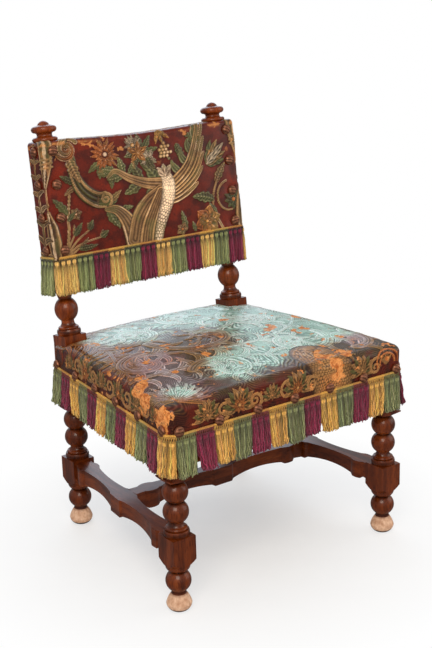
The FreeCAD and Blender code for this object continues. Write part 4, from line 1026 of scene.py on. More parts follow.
def back_work(across, along):
    """Embossing and paint of the back cover on its flat pattern, with painted glints, painted light and
    painted shade.
    """
    work = Tooling(across, along)
    cloud = work.cloud
    work.paint = np.tile(OXBLOOD, (len(across), 1))
    work.wash(OXBLOOD_RED, 0.8 * smooth(0.4, 0.8, cloud(40, 61)))
    work.wash(OXBLOOD_DARK, 0.55 * smooth(0.45, 0.7, cloud(14, 71, 5)))
    tool_back(work)
    work.paint = work.paint * (0.7 + 0.6 * cloud(9, 81))[:, None]
    raised = smooth(0.1, 0.6, work.height)
    aged = raised * smooth(0.4, 0.66, cloud(18, 85, 4)) * (1 - 0.7 * work.ridge)
    work.wash(0.5 * (OXBLOOD_DARK + BRONZE_DARK), 0.6 * aged)
    green = raised * smooth(0.5, 0.68, cloud(26, 87)) * (1 - work.ridge)
    work.wash(LEAF, 0.5 * green)
    # Painted glints: pale gilt on the highest ridges, in clouds
    work.wash(GILT_AND_HIGHLIGHT, 0.55 * smooth(0.45, 0.65, cloud(24, 83, 4)) * smooth(0.6, 0.95, work.ridge))
    # Painted light: raised motifs dimmed, brighter in pools of light at the given spots
    lit = 0.82 + sum(gain * work.patches([(x, y, size)]) for x, y, size, gain in PAINTED_LIGHT_SPOTS)
    work.paint = np.where((work.height > 0.1)[:, None], work.paint * lit[:, None], work.paint)
    # Painted shade and grime in the hollows of the relief, painted highlight where it stands out
    relief_shade_and_grime(work, BACK_GRID, 6, 1.0)
    ragged = cloud(12, 97, 5)
    edge = along - (BACK_TOP - BACK_BASE) + 5
    rub = np.exp(-(edge / 2.4) ** 2) * smooth(0.52, 0.6, ragged)
    rub += 0.9 * np.exp(-((abs(across) - BACK_HALF) / 4) ** 2) * smooth(0.52, 0.64, cloud(20, 95, 4))
    rub *= smooth(60, 150, abs(across))
    rub += smooth(0.74, 0.77, ragged) * smooth(110, 160, along)
    worn = np.clip(rub, 0, 1)
    work.wash(WORN, 0.6 * worn)
    return work.height * (1 - 0.3 * worn), work.paint, worn


# Nail places on the leather, each with the way it faces
SIDES = (("left", -1), ("right", 1))


def seat_nail_places():
    """Nails along each side of the seat, in even steps on the cover's walls."""
    reach = FRONT_HALF - NAIL_INSET
    rear_reach = REAR_GAP - NAIL_INSET
    wall_y = FRAME_Y + SKIN
    past_axis = 6.0
    front_count, side_count, rear_count = 7, 6, 5
    front_x = np.linspace(-reach, reach, front_count)
    rear_x = np.linspace(-rear_reach, rear_reach, rear_count)
    side_y = np.linspace(NAIL_INSET - FRAME_Y, AXIS_Y + past_axis, side_count)
    runs = {"front": [((x, -wall_y, SEAT_NAIL_Z), (0, -1, 0)) for x in front_x],
            "rear": [((x, wall_y, SEAT_NAIL_Z), (0, 1, 0)) for x in rear_x]}
    for name, side in SIDES:
        facing = (side * math.cos(SLANT), math.sin(SLANT), 0)
        runs[name] = [((side * seat_half(y, SKIN), y, SEAT_NAIL_Z), facing) for y in side_y]
    return runs


def back_nail_places():
    """Nails in two columns at each side of the back, on its face and on its edge, still upright."""
    runs = {}
    for name, side in SIDES:
        runs[f"{name}_face"] = [((side * BACK_NAIL_X, BACK_FACE, z), (0, -1, 0)) for z in BACK_NAIL_Z]
        runs[f"{name}_edge"] = [((side * BACK_HALF, AXIS_Y, z), (side, 0, 0)) for z in BACK_NAIL_Z]
    return runs


SEAT_NAILS = seat_nail_places()
BACK_NAILS = back_nail_places()


# Covers
def pulled_in(points, runs, depth, reach):
    """How far leather is drawn in by runs of nails: a smooth dimple about each place."""
    pins = [place for run in runs.values() for place, _ in run]
    return sum(depth * np.exp(-np.sum((points - pin) ** 2, axis=-1) / reach ** 2) for pin in pins)


def closed_cover(points, outward, axis, middle, paint, worn):
    """Points, faces and marks of a cover that is closed inside.

    Its edge turns in by the leather's thickness and runs along an axis to a flat fan about a middle."""
    rows, columns = points.shape[:2]
    loop = rim_loop(rows, columns)
    out = np.insert(outward.reshape(-1, 2)[loop], axis, 0, axis=1)
    inner = points.reshape(-1, 3)[loop] - LEATHER * out
    inside = inner.copy()
    inside[:, axis] = middle[axis]
    everything = np.concatenate([points.reshape(-1, 3), inner, inside, [middle]])
    rim = rows * columns + np.arange(len(loop))
    top = rim + len(loop)
    faces = [grid_faces(rows, columns)]
    for near, far in ((loop, rim), (rim, top)):
        faces.append(np.stack([np.roll(near, -1), near, far, np.roll(far, -1)], axis=1))
    faces.append(np.stack([np.roll(top, -1), top, np.full(len(loop), len(everything) - 1)], axis=1))
    extra = len(everything) - len(paint)
    marks = {"Paint": np.concatenate([paint, np.tile(FLESH_SIDE, (extra, 1))]),
             "Wear": np.concatenate([worn, np.ones(extra)])}
    return everything, faces, marks


def make_seat_cover():
    """Seat cover: crowned top, edge rolled on a quarter ellipse, walls down to the heading, pocket below."""
    inset = CORNER + SKIN
    rear = FRAME_Y + SKIN - inset
    front_x, rear_x = (seat_half(y, SKIN) - inset for y in (-rear, rear))
    core = [(-front_x, -rear), (front_x, -rear), (rear_x, rear), (-rear_x, rear)]
    place, outward, roll, wall = wrapped_sheet(SEAT_GRID, core, SEAT_TOP_SHARE, SEAT_ROLL_SHARE, inset)
    x, y = place[..., 0], place[..., 1]
    shoulder = crown(x, y) - EDGE_DROP * (1 - np.cos(roll))
    plain = np.stack([x, y, shoulder + (SEAT_BASE - shoulder) * wall], axis=-1)
    height, paint, worn = seat_work(plain.reshape(-1, 3))
    uneven, tuck_depth, tuck_reach = 1.2, 3.0, 3.0
    lift = height.reshape(x.shape) - pulled_in(plain, SEAT_NAILS, depth=1.1, reach=12)
    lift += uneven * (mottle(x, y + plain[..., 2], size=52, start=5) - 0.5)
    beside = np.maximum(abs(abs(x) - REAR_AXIS_X) - HALF_STOCK, 0)
    before = np.maximum(abs(y - AXIS_Y) - HALF_STOCK, 0)
    tuck = tuck_depth * np.exp(-(beside ** 2 + before ** 2) / tuck_reach ** 2)
    points = lifted(plain, lift)
    points[..., 2] -= tuck * (plain[..., 2] > FLAP_TOP)
    points, faces, marks = closed_cover(points, outward, 2, (0, 0, POCKET_TOP), paint, worn)
    cover = piece("seat_cover", points, faces, TOOLED, marks)
    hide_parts("seat_leather_cover", "seat_stuffing")


def sag(x, z, low, high):
    """How far the top edge of the back dips between the posts, easing in from a low to a high level."""
    return BACK_SAG * np.clip(1 - (x / REAR_GAP) ** 2, 0, 1) ** 1.3 * smooth(low, high, z)


def make_back_cover():
    """Back cover: a face with a slight swell, rolled to walls that run back over the posts, closed inside."""
    low = BACK_BASE + BACK_ROLL
    high = BACK_TOP - BACK_ROLL
    side = BACK_HALF - BACK_ROLL
    core = [(-side, low), (side, low), (side, high), (-side, high)]
    place, outward, roll, wall = wrapped_sheet(BACK_GRID, core, BACK_FACE_SHARE, BACK_ROLL_SHARE, BACK_ROLL)
    x, z = place[..., 0], place[..., 1]
    middle = (BACK_BASE + BACK_TOP) / 2
    swell = BACK_CROWN * (1 - (x / BACK_HALF) ** 2) * (1 - ((z - middle) / (BACK_TOP - middle)) ** 2)
    foot_depth = 3.0
    foot = smooth(0.2, 0.9, -outward[..., 1])
    depth = (BACK_REAR - BACK_FACE - BACK_ROLL) * (1 - foot) + foot_depth * foot
    y = BACK_FACE - np.maximum(swell, 0) + BACK_ROLL * (1 - np.cos(roll)) + wall * depth
    unfolded = BACK_ROLL * (roll - np.sin(roll)) + wall * depth
    across = x + outward[..., 0] * unfolded
    along = z + outward[..., 1] * unfolded - BACK_BASE
    plain = np.stack([x, y, z - sag(x, z, middle, BACK_TOP)], axis=-1)
    height, paint, worn = back_work(across.ravel(), along.ravel())
    lift = height.reshape(x.shape) - pulled_in(plain, BACK_NAILS, depth=1.0, reach=11)
    lift += (mottle(x, z, size=48, start=7) - 0.5) * (1 - wall)
    points = lifted(plain, lift)
    points, faces, marks = closed_cover(points, outward, 1, (0, BACK_INSIDE, middle), paint, worn)
    cover = piece("back_cover", leaned(points), faces, TOOLED, marks)
    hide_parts("back_leather_cover", "back_stuffing", "back_hessian")


def make_outside_panel():
    """Outside back: a leather sheet nailed flat between the posts, its top edge dipping in the middle."""
    columns, rows = 90, 50
    half = REAR_HALF - PANEL_MARGIN
    low = BACK_BASE + PANEL_MARGIN
    x, z = np.meshgrid(np.linspace(-half, half, columns), np.linspace(low, PANEL_TOP, rows))
    level = z - sag(x, z, low, PANEL_TOP)
    wave = 0.5 * (mottle(x, z, size=60, start=15) - 0.2)
    face = np.stack([x, BACK_REAR + PANEL_THICK + wave, level], axis=-1)
    behind = np.stack([x, np.full_like(x, BACK_REAR), level], axis=-1)
    points = np.concatenate([face, behind]).reshape(-1, 3)
    panel = piece("outside_panel", leaned(points), flipped(slab_faces(rows, columns)), PLAIN)
    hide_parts("outside_back_panel")


# Nails
def nail_heads(places, radius, dome, start):
    """Domed heads with slanting grooves: a quarter ellipse spun round, cut by a wave across each head."""
    rings, sides = 10, 26
    foot, groove_pitch, groove_depth = -0.4, 4.6, 0.7
    rise = np.linspace(0, math.pi / 2, rings)[:-1]
    profile_r = np.append(radius, radius * np.cos(rise))
    profile_h = np.append(foot, NAIL_RIM + dome * np.sin(rise))
    angle = round_angles(sides)
    u = np.append(profile_r[:, None] * np.cos(angle), (0, 0))
    v = np.append(profile_r[:, None] * np.sin(angle), (0, 0))
    h = np.append(np.repeat(profile_h, sides), (foot, NAIL_RIM + dome))
    faces = [copies(rows, len(places), len(u)) for rows in capped_faces(rings, sides)]
    spin = seed(start).normal(0.35, 0.25, len(places))
    points, paint = [], []
    for (place, outward), twist in zip(places, spin):
        out = np.array(outward, dtype=float)
        slant = u * math.sin(twist) + v * math.cos(twist) + 0.02 * u ** 2
        groove = (0.5 + 0.5 * np.cos(WHOLE_TURN * slant / groove_pitch)) ** 3 * (h > NAIL_RIM)
        sunk = h - groove_depth * groove * (1 - (np.hypot(u, v) / radius) ** 4)
        across = np.cross(UP, out)
        points.append(np.array(place) + u[:, None] * across + v[:, None] * UP + sunk[:, None] * out)
        paint.append(blend(np.tile(NAIL_RIDGE, (len(u), 1)), NAIL_GROOVE, 0.85 * groove))
    return np.concatenate(points), faces, np.concatenate(paint)


def make_nails():
    """One piece for each row of nails, in the place of its solids."""
    for k, (name, run) in enumerate(SEAT_NAILS.items()):
        points, faces, paint = nail_heads(run, NAIL_RADIUS, NAIL_DOME, start=100 + k)
        made = piece(f"seat_{name}_nail_heads", points, faces, BRASS, {"Paint": paint})
        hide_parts(f"seat_{name}_nails")
    for k, (name, run) in enumerate(BACK_NAILS.items()):
        points, faces, paint = nail_heads(run, NAIL_RADIUS, NAIL_DOME, start=120 + k)
        made = piece(f"back_{name}_nail_heads", leaned(points), faces, BRASS, {"Paint": paint})
        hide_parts(f"back_{name}_nails")
    tacks_at_side = 5
    levels = np.linspace(BACK_BASE + TACK_INSET, BACK_TOP - SKIN - TACK_INSET, tacks_at_side)
    run = [((side * (REAR_HALF - TACK_INSET), BACK_REAR + PANEL_THICK, z), (0, 1, 0)) for _, side in SIDES
           for z in levels]
    points, faces, paint = nail_heads(run, TACK_RADIUS, TACK_DOME, start=140)
    made = piece("outside_tack_heads", leaned(points), faces, BRASS, {"Paint": paint})
    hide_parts("outside_panel_tacks")


# Fringe
def seat_line(out):
    """Line round three sides of the seat at a distance from the frame: straight sides joined by corner arcs.

    Returns the length run at each point, the places and the way the line heads."""
    radius = CORNER + out
    corner_y = CORNER - FRAME_Y
    corner_x = seat_half(corner_y, out) - radius / math.cos(SLANT)
    rear_x = seat_half(FRAME_Y, out)
    end = math.pi / 2 + SLANT
    steps = 24
    arcs = np.concatenate([np.linspace(-end, 0, steps), np.linspace(0, end, steps)])
    corners = np.repeat((-corner_x, corner_x), steps)
    x = np.concatenate([[-rear_x], corners + radius * np.sin(arcs), [rear_x]])
    y = np.concatenate([[FRAME_Y], corner_y - radius * np.cos(arcs), [FRAME_Y]])
    run = np.concatenate([[0], np.cumsum(np.hypot(np.diff(x), np.diff(y)))])
    return run, x, y, np.concatenate([[-end], arcs, [end]])


def straight_line(start, end):
    """A line of two points, in the form of seat_line."""
    heading = math.atan2(end[1] - start[1], end[0] - start[0])
    return np.array([0, math.dist(start, end)]), *np.transpose([start, end]), np.array([heading, heading])


def on_line(line, lengths):
    """Places, tangents and outward directions at lengths along a line."""
    run, x, y, heading = line
    angle = np.interp(lengths, run, heading)
    zero = np.zeros_like(lengths)
    place = np.stack([np.interp(lengths, run, x), np.interp(lengths, run, y), zero], axis=1)
    tangent = np.stack([np.cos(angle), np.sin(angle), zero], axis=1)
    outward = np.stack([np.sin(angle), -np.cos(angle), zero], axis=1)
    return place, tangent, outward


def in_row(line, count, level):
    """Tassels in even steps along a line: pitch, lengths along it, places, tangents, outward directions."""
    pitch = line[0][-1] / count
    lengths = pitch * (np.arange(count) + 0.5)
    place, tangent, outward = on_line(line, lengths)
    place[:, 2] = level + TASSEL_UP
    return pitch, lengths, place + TASSEL_OUT * outward, tangent, outward


def row_dyes(first, per_colour, pitch):
    """Function that gives the dye at each length along a row of tassels."""
    table = np.array(list(DYES.values()))

    def dye_at(lengths):
        """Dye at each length."""
        block = np.floor(np.maximum(lengths, 0) / (pitch * per_colour)).astype(int)
        return table[(first + block) % len(table)]

    return dye_at


def tube(centre, side, radius, sides):
    """Tube of round section carried along a path, with closed ends; side is a direction across the path."""
    tangent = unit(np.gradient(centre, axis=0))
    up = unit(np.cross(tangent, side))
    across = np.cross(up, tangent)
    angle = round_angles(sides)[None, :, None]
    ring = np.cos(angle) * across[:, None] + np.sin(angle) * up[:, None]
    points = (centre[:, None] + radius * ring).reshape(-1, 3)
    return np.concatenate([points, centre[:1], centre[-1:]]), capped_faces(len(centre), sides)


STRAND_STEP = 0.7
STRAND_SIDES = 6
CORD_PITCH = 5.2
CORD_SWING = 0.75
CORD_RADIUS = 1.15
LOOP_PITCH = 6.4
LOOP_RADIUS = 0.8
LOOP_LEAN = 1.5
LOOP_LAG = 1.2
LOOP_OUT = 0.35
FOOT_RADIUS = 0.9
FOOT_OUT = 0.4


def braid(line, start, end, base, top, dye_at):
    """Fringe heading: a two-strand gold cord, crossing loops below it in the tassels' colours, a foot cord.

    Strands of the cord turn round its middle; loops are sine waves in opposite step."""
    lengths = np.arange(start, end, STRAND_STEP)
    place, tangent, outward = on_line(line, lengths)
    dyes = dye_at(lengths)
    gold = np.tile(CORD_GOLD, (len(lengths), 1))
    whole = np.ones(len(lengths))
    cord_z = top - CORD_SWING - CORD_RADIUS
    loop_z = (base + cord_z) / 2
    loop_height = (cord_z - base) / 2
    strands = []
    for turn in (0, math.pi):
        angle = (WHOLE_TURN * lengths / CORD_PITCH + turn)[:, None]
        centre = place + (cord_z + CORD_SWING * np.sin(angle)) * UP + CORD_SWING * np.cos(angle) * outward
        strands.append((centre, CORD_RADIUS, blend(gold, dyes, 0.3 * whole)))
    for turn in (0, math.pi):
        angle = (WHOLE_TURN * lengths / LOOP_PITCH + turn)[:, None]
        centre = place + (loop_z + loop_height * np.sin(angle)) * UP
        centre = centre + LOOP_LEAN * np.sin(angle - LOOP_LAG) * tangent
        centre = centre + LOOP_OUT * np.cos(angle / 2) * outward
        strands.append((centre, LOOP_RADIUS, 0.6 * blend(dyes, gold, 0.15 * whole)))
    strands.append((place + (base + FOOT_RADIUS) * UP + FOOT_OUT * outward, FOOT_RADIUS, 0.75 * dyes))
    bodies = []
    for centre, radius, colour in strands:
        points, faces = tube(centre, outward, radius, STRAND_SIDES)
        paint = np.concatenate([np.repeat(colour, STRAND_SIDES, axis=0), colour[:1], colour[-1:]])
        bodies.append((points, faces, paint))
    return joined(bodies)


# A tassel from top to hem: levels as shares of its length, widths and depths as shares of the pitch, tones of
# painted shade
HEAD_LEVELS = np.array((0.0, 0.02, 0.05, 0.085, 0.115, 0.135, 0.15, 0.165, 0.18, 0.195, 0.22))
HEAD_WIDTHS = np.array((0.24, 0.34, 0.40, 0.40, 0.35, 0.29, 0.33, 0.29, 0.33, 0.30, 0.34))
HEAD_PAINTED_SHADES = np.array((0.35, 0.75, 1.0, 1.05, 0.9, 0.55, 0.8, 0.5, 0.8, 0.55, 0.8))
HEAD_SIDES = 10
HEAD_OVAL = 0.62
SKIRT_LEVELS = np.array((-0.03, 0.12, 0.26, 0.38, 0.52, 0.66, 0.78, 0.90, 1.0))
SKIRT_WIDTHS = np.array((0.54, 0.54, 0.54, 0.55, 0.56, 0.58, 0.60, 0.62, 0.64))
SKIRT_DEPTHS = np.array((0.08, 0.10, 0.25, 0.31, 0.32, 0.32, 0.32, 0.32, 0.32))
SKIRT_PAINTED_SHADES = np.array((0.12, 0.2, 0.75, 0.95, 1.0, 1.0, 1.03, 1.06, 1.1))
STRANDS = 30
STRAND_RADIUS = 0.86
STRAND_CORNERS = np.array((0.5, 2.6, 4.7))
STRAND_TURN = 6.28
GOLDEN_ANGLE = 2.39996


def tassel_heads(rng, place, tangent, outward, length, pitch, dye):
    """Knotted heads of tassels: ovals of given levels and widths, ribbed by painted shade, darker at the top
    and ties.
    """
    total = len(place)
    angle = round_angles(HEAD_SIDES)
    oval = (np.cos(angle)[:, None] * tangent[:, None, None]
            + HEAD_OVAL * np.sin(angle)[:, None] * outward[:, None, None])
    ring = oval * (HEAD_WIDTHS * pitch)[:, None, None]
    drop = HEAD_LEVELS[:, None, None] * length * UP
    points = (place[:, None, None] + ring - drop).reshape(total, -1, 3)
    tips = np.stack([place, place - HEAD_LEVELS[-1] * length * UP], axis=1)
    points = np.concatenate([points, tips], axis=1)
    body = flipped(capped_faces(len(HEAD_LEVELS), HEAD_SIDES))
    faces = [copies(rows, total, points.shape[1]) for rows in body]
    # Painted shade: ribs round each head, dark rows at its top and ties, a dark top point
    rib_shade = 0.82 + 0.18 * np.cos(5 * angle)
    shade = np.append(np.outer(HEAD_PAINTED_SHADES, rib_shade), (0.4, 0.8))
    tone = (0.85 + 0.3 * rng.random((total, 1, 1))) * shade[:, None]
    return points.reshape(-1, 3), faces, (dye[:, None] * tone).reshape(-1, 3)


def tassel_skirts(rng, place, tangent, outward, length, pitch, dye, gather):
    """Skirts of separate wavy strands.

    Strands fill an oval by the golden angle, swell below the tie, wave more towards the hem and end unevenly.
    With gather, tassels of one colour draw together, and each bunch has its own lean and length."""
    total = len(place)
    each = (total, STRANDS, 1)
    t = SKIRT_LEVELS
    fill = np.sqrt((np.arange(STRANDS) + 0.5) / STRANDS)
    angle = np.arange(STRANDS) * GOLDEN_ANGLE + rng.random((total, 1)) * STRAND_TURN
    hem = 1 + np.clip(rng.normal(0, 0.022, (total, STRANDS)), -0.06, 0.05)
    wave = rng.uniform(0.3, 1.0, each) * pitch * (0.13 + 0.35 * gather)
    phase = rng.random(each) * STRAND_TURN
    bends = rng.uniform(1.6, 3.6, each)
    bunch = np.arange(total) // TASSELS_PER_COLOUR
    off_centre = np.arange(total) % TASSELS_PER_COLOUR - (TASSELS_PER_COLOUR - 1) / 2
    lean = gather * (rng.normal(0, 1.0, total)[bunch] - 1.1 * off_centre)
    hem = hem * (1 - 0.25 * gather * rng.random(total)[bunch][:, None])
    sway = (rng.normal(0, 0.15, total) + lean)[:, None, None] * pitch * t ** 2
    swing = rng.uniform(0.05, 0.45, (total, 1, 1)) * pitch * t ** 2
    lateral = (fill * np.cos(angle))[..., None] * SKIRT_WIDTHS * pitch + sway
    lateral = lateral + wave * np.sin(STRAND_TURN * bends * t + phase) * t
    depth = (fill * np.sin(angle))[..., None] * SKIRT_DEPTHS * pitch + swing
    depth = depth + 0.6 * wave * np.cos(STRAND_TURN * bends * t + 1.7 * phase) * t
    fall = t * hem[..., None] * length
    centre = (place[:, None, None] + lateral[..., None] * tangent[:, None, None]
              + depth[..., None] * outward[:, None, None] - fall[..., None] * UP)
    thick = STRAND_RADIUS * np.linspace(0.9, 1.15, len(t))
    section = (np.cos(STRAND_CORNERS)[:, None] * tangent[:, None, None, None]
               + np.sin(STRAND_CORNERS)[:, None] * outward[:, None, None, None])
    points = centre[..., None, :] + thick[:, None, None] * section
    corners = len(STRAND_CORNERS)
    size = len(t) * corners
    caps = np.array([[0, 1, 2], [size - 1, size - 2, size - 3]])
    body = [grid_faces(len(t), corners, True)[:, ::-1], caps]
    faces = [copies(rows, total * STRANDS, size) for rows in body]
    # Painted shade: strands darker deep inside a tassel and at its sides, between tassels
    deep = 0.38 + 0.62 * fill ** 1.5
    seam = 1 - 0.6 * abs(fill * np.cos(angle)) ** 4
    tone = deep * seam * rng.uniform(0.6, 1.6, (total, STRANDS)) * rng.uniform(0.88, 1.12, (total, 1))
    warm = 1 + rng.normal(0, 0.05, (total, STRANDS, 3))
    colour = np.clip(dye[:, None] * tone[..., None] * warm, 0, 1)
    # Painted shade along each strand, darkest under the head, less where tassels gather
    along = np.repeat(np.maximum(SKIRT_PAINTED_SHADES, 2.4 * gather), corners)
    paint = colour[:, :, None] * along[:, None]
    return points.reshape(-1, 3), faces, paint.reshape(-1, 3)


def tassels(place, tangent, outward, length, pitch, dye, start, gather=0.0):
    """Tassels hung at places: knotted heads, and the skirts below them."""
    rng = seed(start)
    hung = (rng, place, tangent, outward, length, pitch, dye)
    return joined([tassel_heads(*hung), tassel_skirts(*hung, gather)])


def make_seat_fringe():
    """Seat fringe along the left side, the front and the right side, in one run of colours."""
    line = seat_line(SKIN + HEADING_OUT / 2)
    pitch, lengths, place, tangent, outward = in_row(line, SEAT_TASSELS, SEAT_HEADING[0])
    dye_at = row_dyes(0, TASSELS_PER_COLOUR, pitch)
    kind = (np.arange(SEAT_TASSELS) // TASSELS_PER_COLOUR) % len(COLOURS)
    for k, colour in enumerate(COLOURS):
        own = kind == k
        points, faces, paint = tassels(place[own], tangent[own], outward[own], SEAT_TASSEL_LENGTH, pitch,
                                       dye_at(lengths[own]), 200 + k, SEAT_GATHER)
        made = piece(f"seat_{colour}_tassel_yarn", points, faces, YARN, {"Paint": paint})
        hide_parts(f"seat_{colour}_tassels")
    whole = line[0][-1]
    corner = line[0][1]
    end_gap = 0.5
    for name, start, end in (("left", end_gap, corner), ("front", corner, whole - corner),
                             ("right", whole - corner, whole - end_gap)):
        points, faces, paint = braid(line, start, end, *SEAT_HEADING, dye_at)
        made = piece(f"seat_{name}_braid", points, faces, YARN, {"Paint": paint})
        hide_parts(f"seat_{name}_heading")


def make_back_fringe():
    """Back fringe along its foot and both edges: its braid leans with the back, its tassels hang plumb."""
    out = HEADING_OUT / 2
    edge = BACK_HALF + out
    face = BACK_FACE - out
    corner_gap, corner_inset = 5.0, 1.0
    reach = BACK_HALF - corner_gap
    near = BACK_FACE + corner_gap
    one_colour = BACK_EDGE_TASSELS
    runs = {"left": ((-edge, BACK_REAR), (-edge, near), BACK_EDGE_TASSELS, 0, one_colour),
            "front": ((-reach, face), (reach, face), BACK_TASSELS, 2, TASSELS_PER_COLOUR),
            "right": ((edge, near), (edge, BACK_REAR), BACK_EDGE_TASSELS, 2, one_colour)}
    hung = {colour: [] for colour in COLOURS}
    for name, (start, end, count, first, per_colour) in runs.items():
        line = straight_line(start, end)
        pitch, _, place, tangent, outward = in_row(line, count, BACK_HEADING[0])
        kind = (first + np.arange(count) // per_colour) % len(COLOURS)
        for k, colour in enumerate(COLOURS):
            own = kind == k
            if own.any():
                hung[colour].append((leaned(place[own]), tangent[own], outward[own]))
        if name != "front":
            side = np.sign(start[0])
            corner = np.array([(side * (BACK_HALF - corner_inset), BACK_FACE + corner_inset, place[0, 2])])
            aslant = np.array([(side, -1.0, 0.0)]) / math.sqrt(2)
            hung["gold"].append((leaned(corner), np.cross(UP, aslant), aslant))
        dye_at = row_dyes(first, per_colour, pitch)
        points, faces, paint = braid(line, 0.0, line[0][-1], *BACK_HEADING, dye_at)
        made = piece(f"back_{name}_braid", leaned(points), faces, YARN, {"Paint": paint})
        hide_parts(f"back_{name}_heading")
    for k, (colour, groups) in enumerate(hung.items()):
        place, tangent, outward = (np.concatenate(parts) for parts in zip(*groups))
        # Back tassels in the brighter dyes: painted light
        points, faces, paint = tassels(place, tangent, outward, BACK_TASSEL_LENGTH, BACK_TASSEL_PITCH,
                                       np.tile(BACK_DYES_WITH_PAINTED_LIGHT[colour], (len(place), 1)), 300 + k)
        made = piece(f"back_{colour}_tassel_yarn", points, faces, YARN, {"Paint": paint})
        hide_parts(f"back_{colour}_tassels")


# Under the seat
WEB_WIDTH = 36.0
WEB_THICK = 1.6
WEB_LEVEL = 274.8
WEB_RISE = 0.95
LENGTHWISE_X = (-105.0, -35.0, 35.0, 105.0)
CROSSWISE_Y = (-84.0, 0.0, 84.0)


def make_webbing():
    """Webbing strips that pass over and under each other: a strip's height is a row of bumps, up or down."""
    columns, step = 13, 2.0
    bump_half = WEB_WIDTH * 0.75
    strips = [(f"webbing_lengthwise_{i + 1}", 1, x, CROSSWISE_Y, i) for i, x in enumerate(LENGTHWISE_X)]
    strips += [(f"webbing_crosswise_{j + 1}", 0, y, LENGTHWISE_X, j + 1) for j, y in enumerate(CROSSWISE_Y)]
    for name, axis, middle, crossings, parity in strips:
        low, high = solid(name)
        shift = MIDDLE_Y if axis == 1 else 0.0
        run = np.arange(low[axis] - shift, high[axis] - shift, step)
        wave = np.zeros_like(run)
        for k, crossing in enumerate(crossings):
            sign = 1 if (parity + k) % 2 else -1
            wave += sign * np.exp(-((run - crossing) / bump_half) ** 4)
        a, b = np.meshgrid(np.linspace(-WEB_WIDTH / 2, WEB_WIDTH / 2, columns), run)
        level = (WEB_LEVEL + WEB_RISE * wave)[:, None]
        thick = WEB_THICK / 2 * (1 - 0.35 * (abs(a) / (WEB_WIDTH / 2)) ** 6)
        x, y = (a + middle, b) if axis == 1 else (b, a + middle)
        points = np.concatenate([np.stack([x, y, level + part], axis=-1) for part in (thick, -thick)])
        faces = slab_faces(len(run), columns)
        if axis == 0:
            faces = flipped(faces)
        made = piece(f"{name}_strip", points.reshape(-1, 3), faces, WEBBING)
        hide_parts(name)


def make_hessian():
    """Hessian over the webbing: a tapered sheet, cut back at the posts, a little uneven."""
    rows, columns = 90, 90
    margin, clear, cut, cloth_thick = 3.0, 0.5, 4.0, 0.7
    low, high = solid("seat_hessian")
    y = np.linspace(low[1] - MIDDLE_Y, high[1] - MIDDLE_Y, rows)
    post_y = AXIS_Y - HALF_STOCK
    notch = smooth(post_y - cut, post_y - clear, y)
    half = seat_half(y, -margin) * (1 - notch) + (REAR_GAP - clear) * notch
    x = half[:, None] * np.linspace(-1, 1, columns)
    deep = np.repeat(y[:, None], columns, axis=1)
    z = (low[2] + high[2]) / 2 + 0.3 * (mottle(x, deep, size=22, start=17) - 0.5)
    points = np.stack([x, deep, z], axis=-1).reshape(-1, 3)
    made = piece("seat_hessian_cloth", points, [grid_faces(rows, columns)], HESSIAN)
    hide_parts("seat_hessian")
    thickness = made.modifiers.new("thickness", "SOLIDIFY")
    thickness.thickness = cloth_thick * MM
    thickness.offset = 0.0


def dress_wood():
    """Gives every wooden solid the walnut or beech that runs its own way."""
    for name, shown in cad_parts.items():
        if name.endswith("_foot"):
            wood = BEECH
        elif name.endswith(("_leg", "_post", "_finial")):
            wood = UPRIGHT_WALNUT
        elif name in ("left_side_stretcher", "right_side_stretcher", "left_seat_rail", "right_seat_rail"):
            wood = SIDE_WALNUT
        elif name.endswith(("_rail", "_stretcher")):
            wood = CROSS_WALNUT
        else:
            continue
        shown.data.materials.clear()
        shown.data.materials.append(wood)


# Studio
def make_floor():
    """Pale floor that keeps a soft shadow and fades into the white background."""
    s = Surface("pale studio floor", Roughness=0.9, IOR=1.3)
    tone = s.ramp(s.noise(60, 3.0), (0.3, "#f4f4f4"), (0.7, "#f8f8f8"))
    away = s.add("VectorMath", "Value", {0: s.place}, operation="LENGTH")
    fade = s.span(away, 0.34, 1.0, 0.08, 0.44)
    to_camera, to_gloss = (s.add("LightPath", ray) for ray in ("Is Camera Ray", "Is Glossy Ray"))
    seen = s.add("Math", 0, {0: to_camera, 1: fade}, operation="MULTIPLY")
    white, dim = (s.add("Emission", 0, {"Strength": strength}) for strength in (1.0, 0.2))
    lit = s.add("MixShader", 0, {0: seen, 1: s.shader.outputs[0], 2: white})
    s.join(s.add("MixShader", 0, {0: to_gloss, 1: lit, 2: dim}), "Material Output", "Surface")
    mesh = bpy.data.meshes.new("floor")
    reach = 60.0
    mesh.from_pydata([(-reach, -reach, 0), (reach, -reach, 0), (reach, reach, 0), (-reach, reach, 0)], [],
                     [(0, 1, 2, 3)])
    mesh.materials.append(s.done(Base_Color=tone))
    floor = bpy.data.objects.new("floor", mesh)
    bpy.context.scene.collection.objects.link(floor)


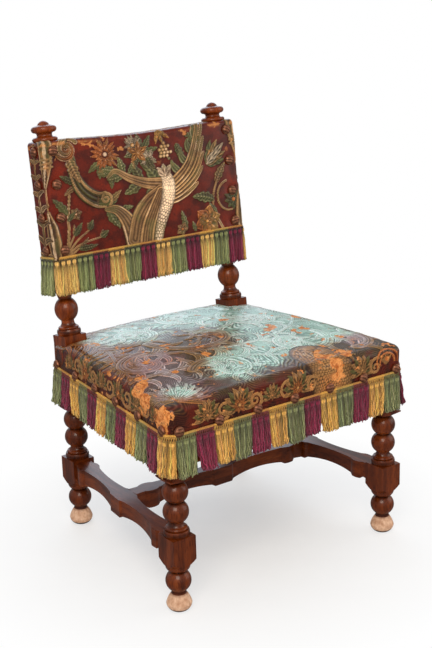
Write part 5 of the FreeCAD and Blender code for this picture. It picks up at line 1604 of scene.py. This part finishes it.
def make_light():
    """White world, a soft key from the front left, a broad cool light behind the chair, a fill."""
    world = bpy.data.worlds.new("studio")
    bpy.context.scene.world = world
    world.use_nodes = True
    nodes = Nodes(world.node_tree)
    nodes.join(nodes.span(nodes.add("LightPath", "Is Camera Ray"), 0.5, 1.0), "Background", "Strength")
    world.node_tree.nodes["Background"].inputs["Color"].default_value = (1, 1, 1, 1)
    target = Vector((0, 0, 0.3))
    lamps = (("key", (-1.5, -1.7, 2.0), 1.4, 42.0, "#fff4e6"),
             ("behind", (0.7, 2.0, 1.5), 2.2, 26.0, "#dcecff"),
             ("fill", (1.9, -1.1, 1.1), 1.6, 10.0, "#fff8f0"))
    for name, place, size, power, colour in lamps:
        lamp = bpy.data.lights.new(name, "AREA")
        lamp.size = size
        lamp.energy = power
        lamp.color = linear(colour)
        shown = bpy.data.objects.new(name, lamp)
        bpy.context.scene.collection.objects.link(shown)
        shown.location = place
        shown.rotation_euler = (target - Vector(place)).to_track_quat("-Z", "Y").to_euler()


def make_camera():
    """Camera at the photograph's place: turned round the chair, looking down, rolled a little."""
    turn = math.radians(-36.12)
    tilt = math.radians(16.45)
    roll = math.radians(-1.6)
    right = np.array((math.cos(turn), math.sin(turn), 0.0))
    back = np.array((math.sin(turn) * math.cos(tilt), -math.cos(turn) * math.cos(tilt), math.sin(tilt)))
    up = np.cross(back, right)
    right, up = math.cos(roll) * right + math.sin(roll) * up, math.cos(roll) * up - math.sin(roll) * right
    place = np.array((-1036.8, -1424.6 + MIDDLE_Y, 854.5)) * MM
    lens = bpy.data.cameras.new("camera")
    lens.lens = 68.44
    lens.sensor_width = 36.0
    camera = bpy.data.objects.new("camera", lens)
    bpy.context.scene.collection.objects.link(camera)
    columns = [(*axis, 0.0) for axis in (right, up, back)] + [(*place, 1.0)]
    camera.matrix_world = Matrix(columns).transposed()
    bpy.context.scene.camera = camera


make_camera()
dress_wood()
make_seat_cover()
make_back_cover()
make_outside_panel()
make_nails()
make_seat_fringe()
make_back_fringe()
make_webbing()
make_hessian()
make_floor()
make_light()
bpy.context.scene.view_settings.view_transform = "Standard"
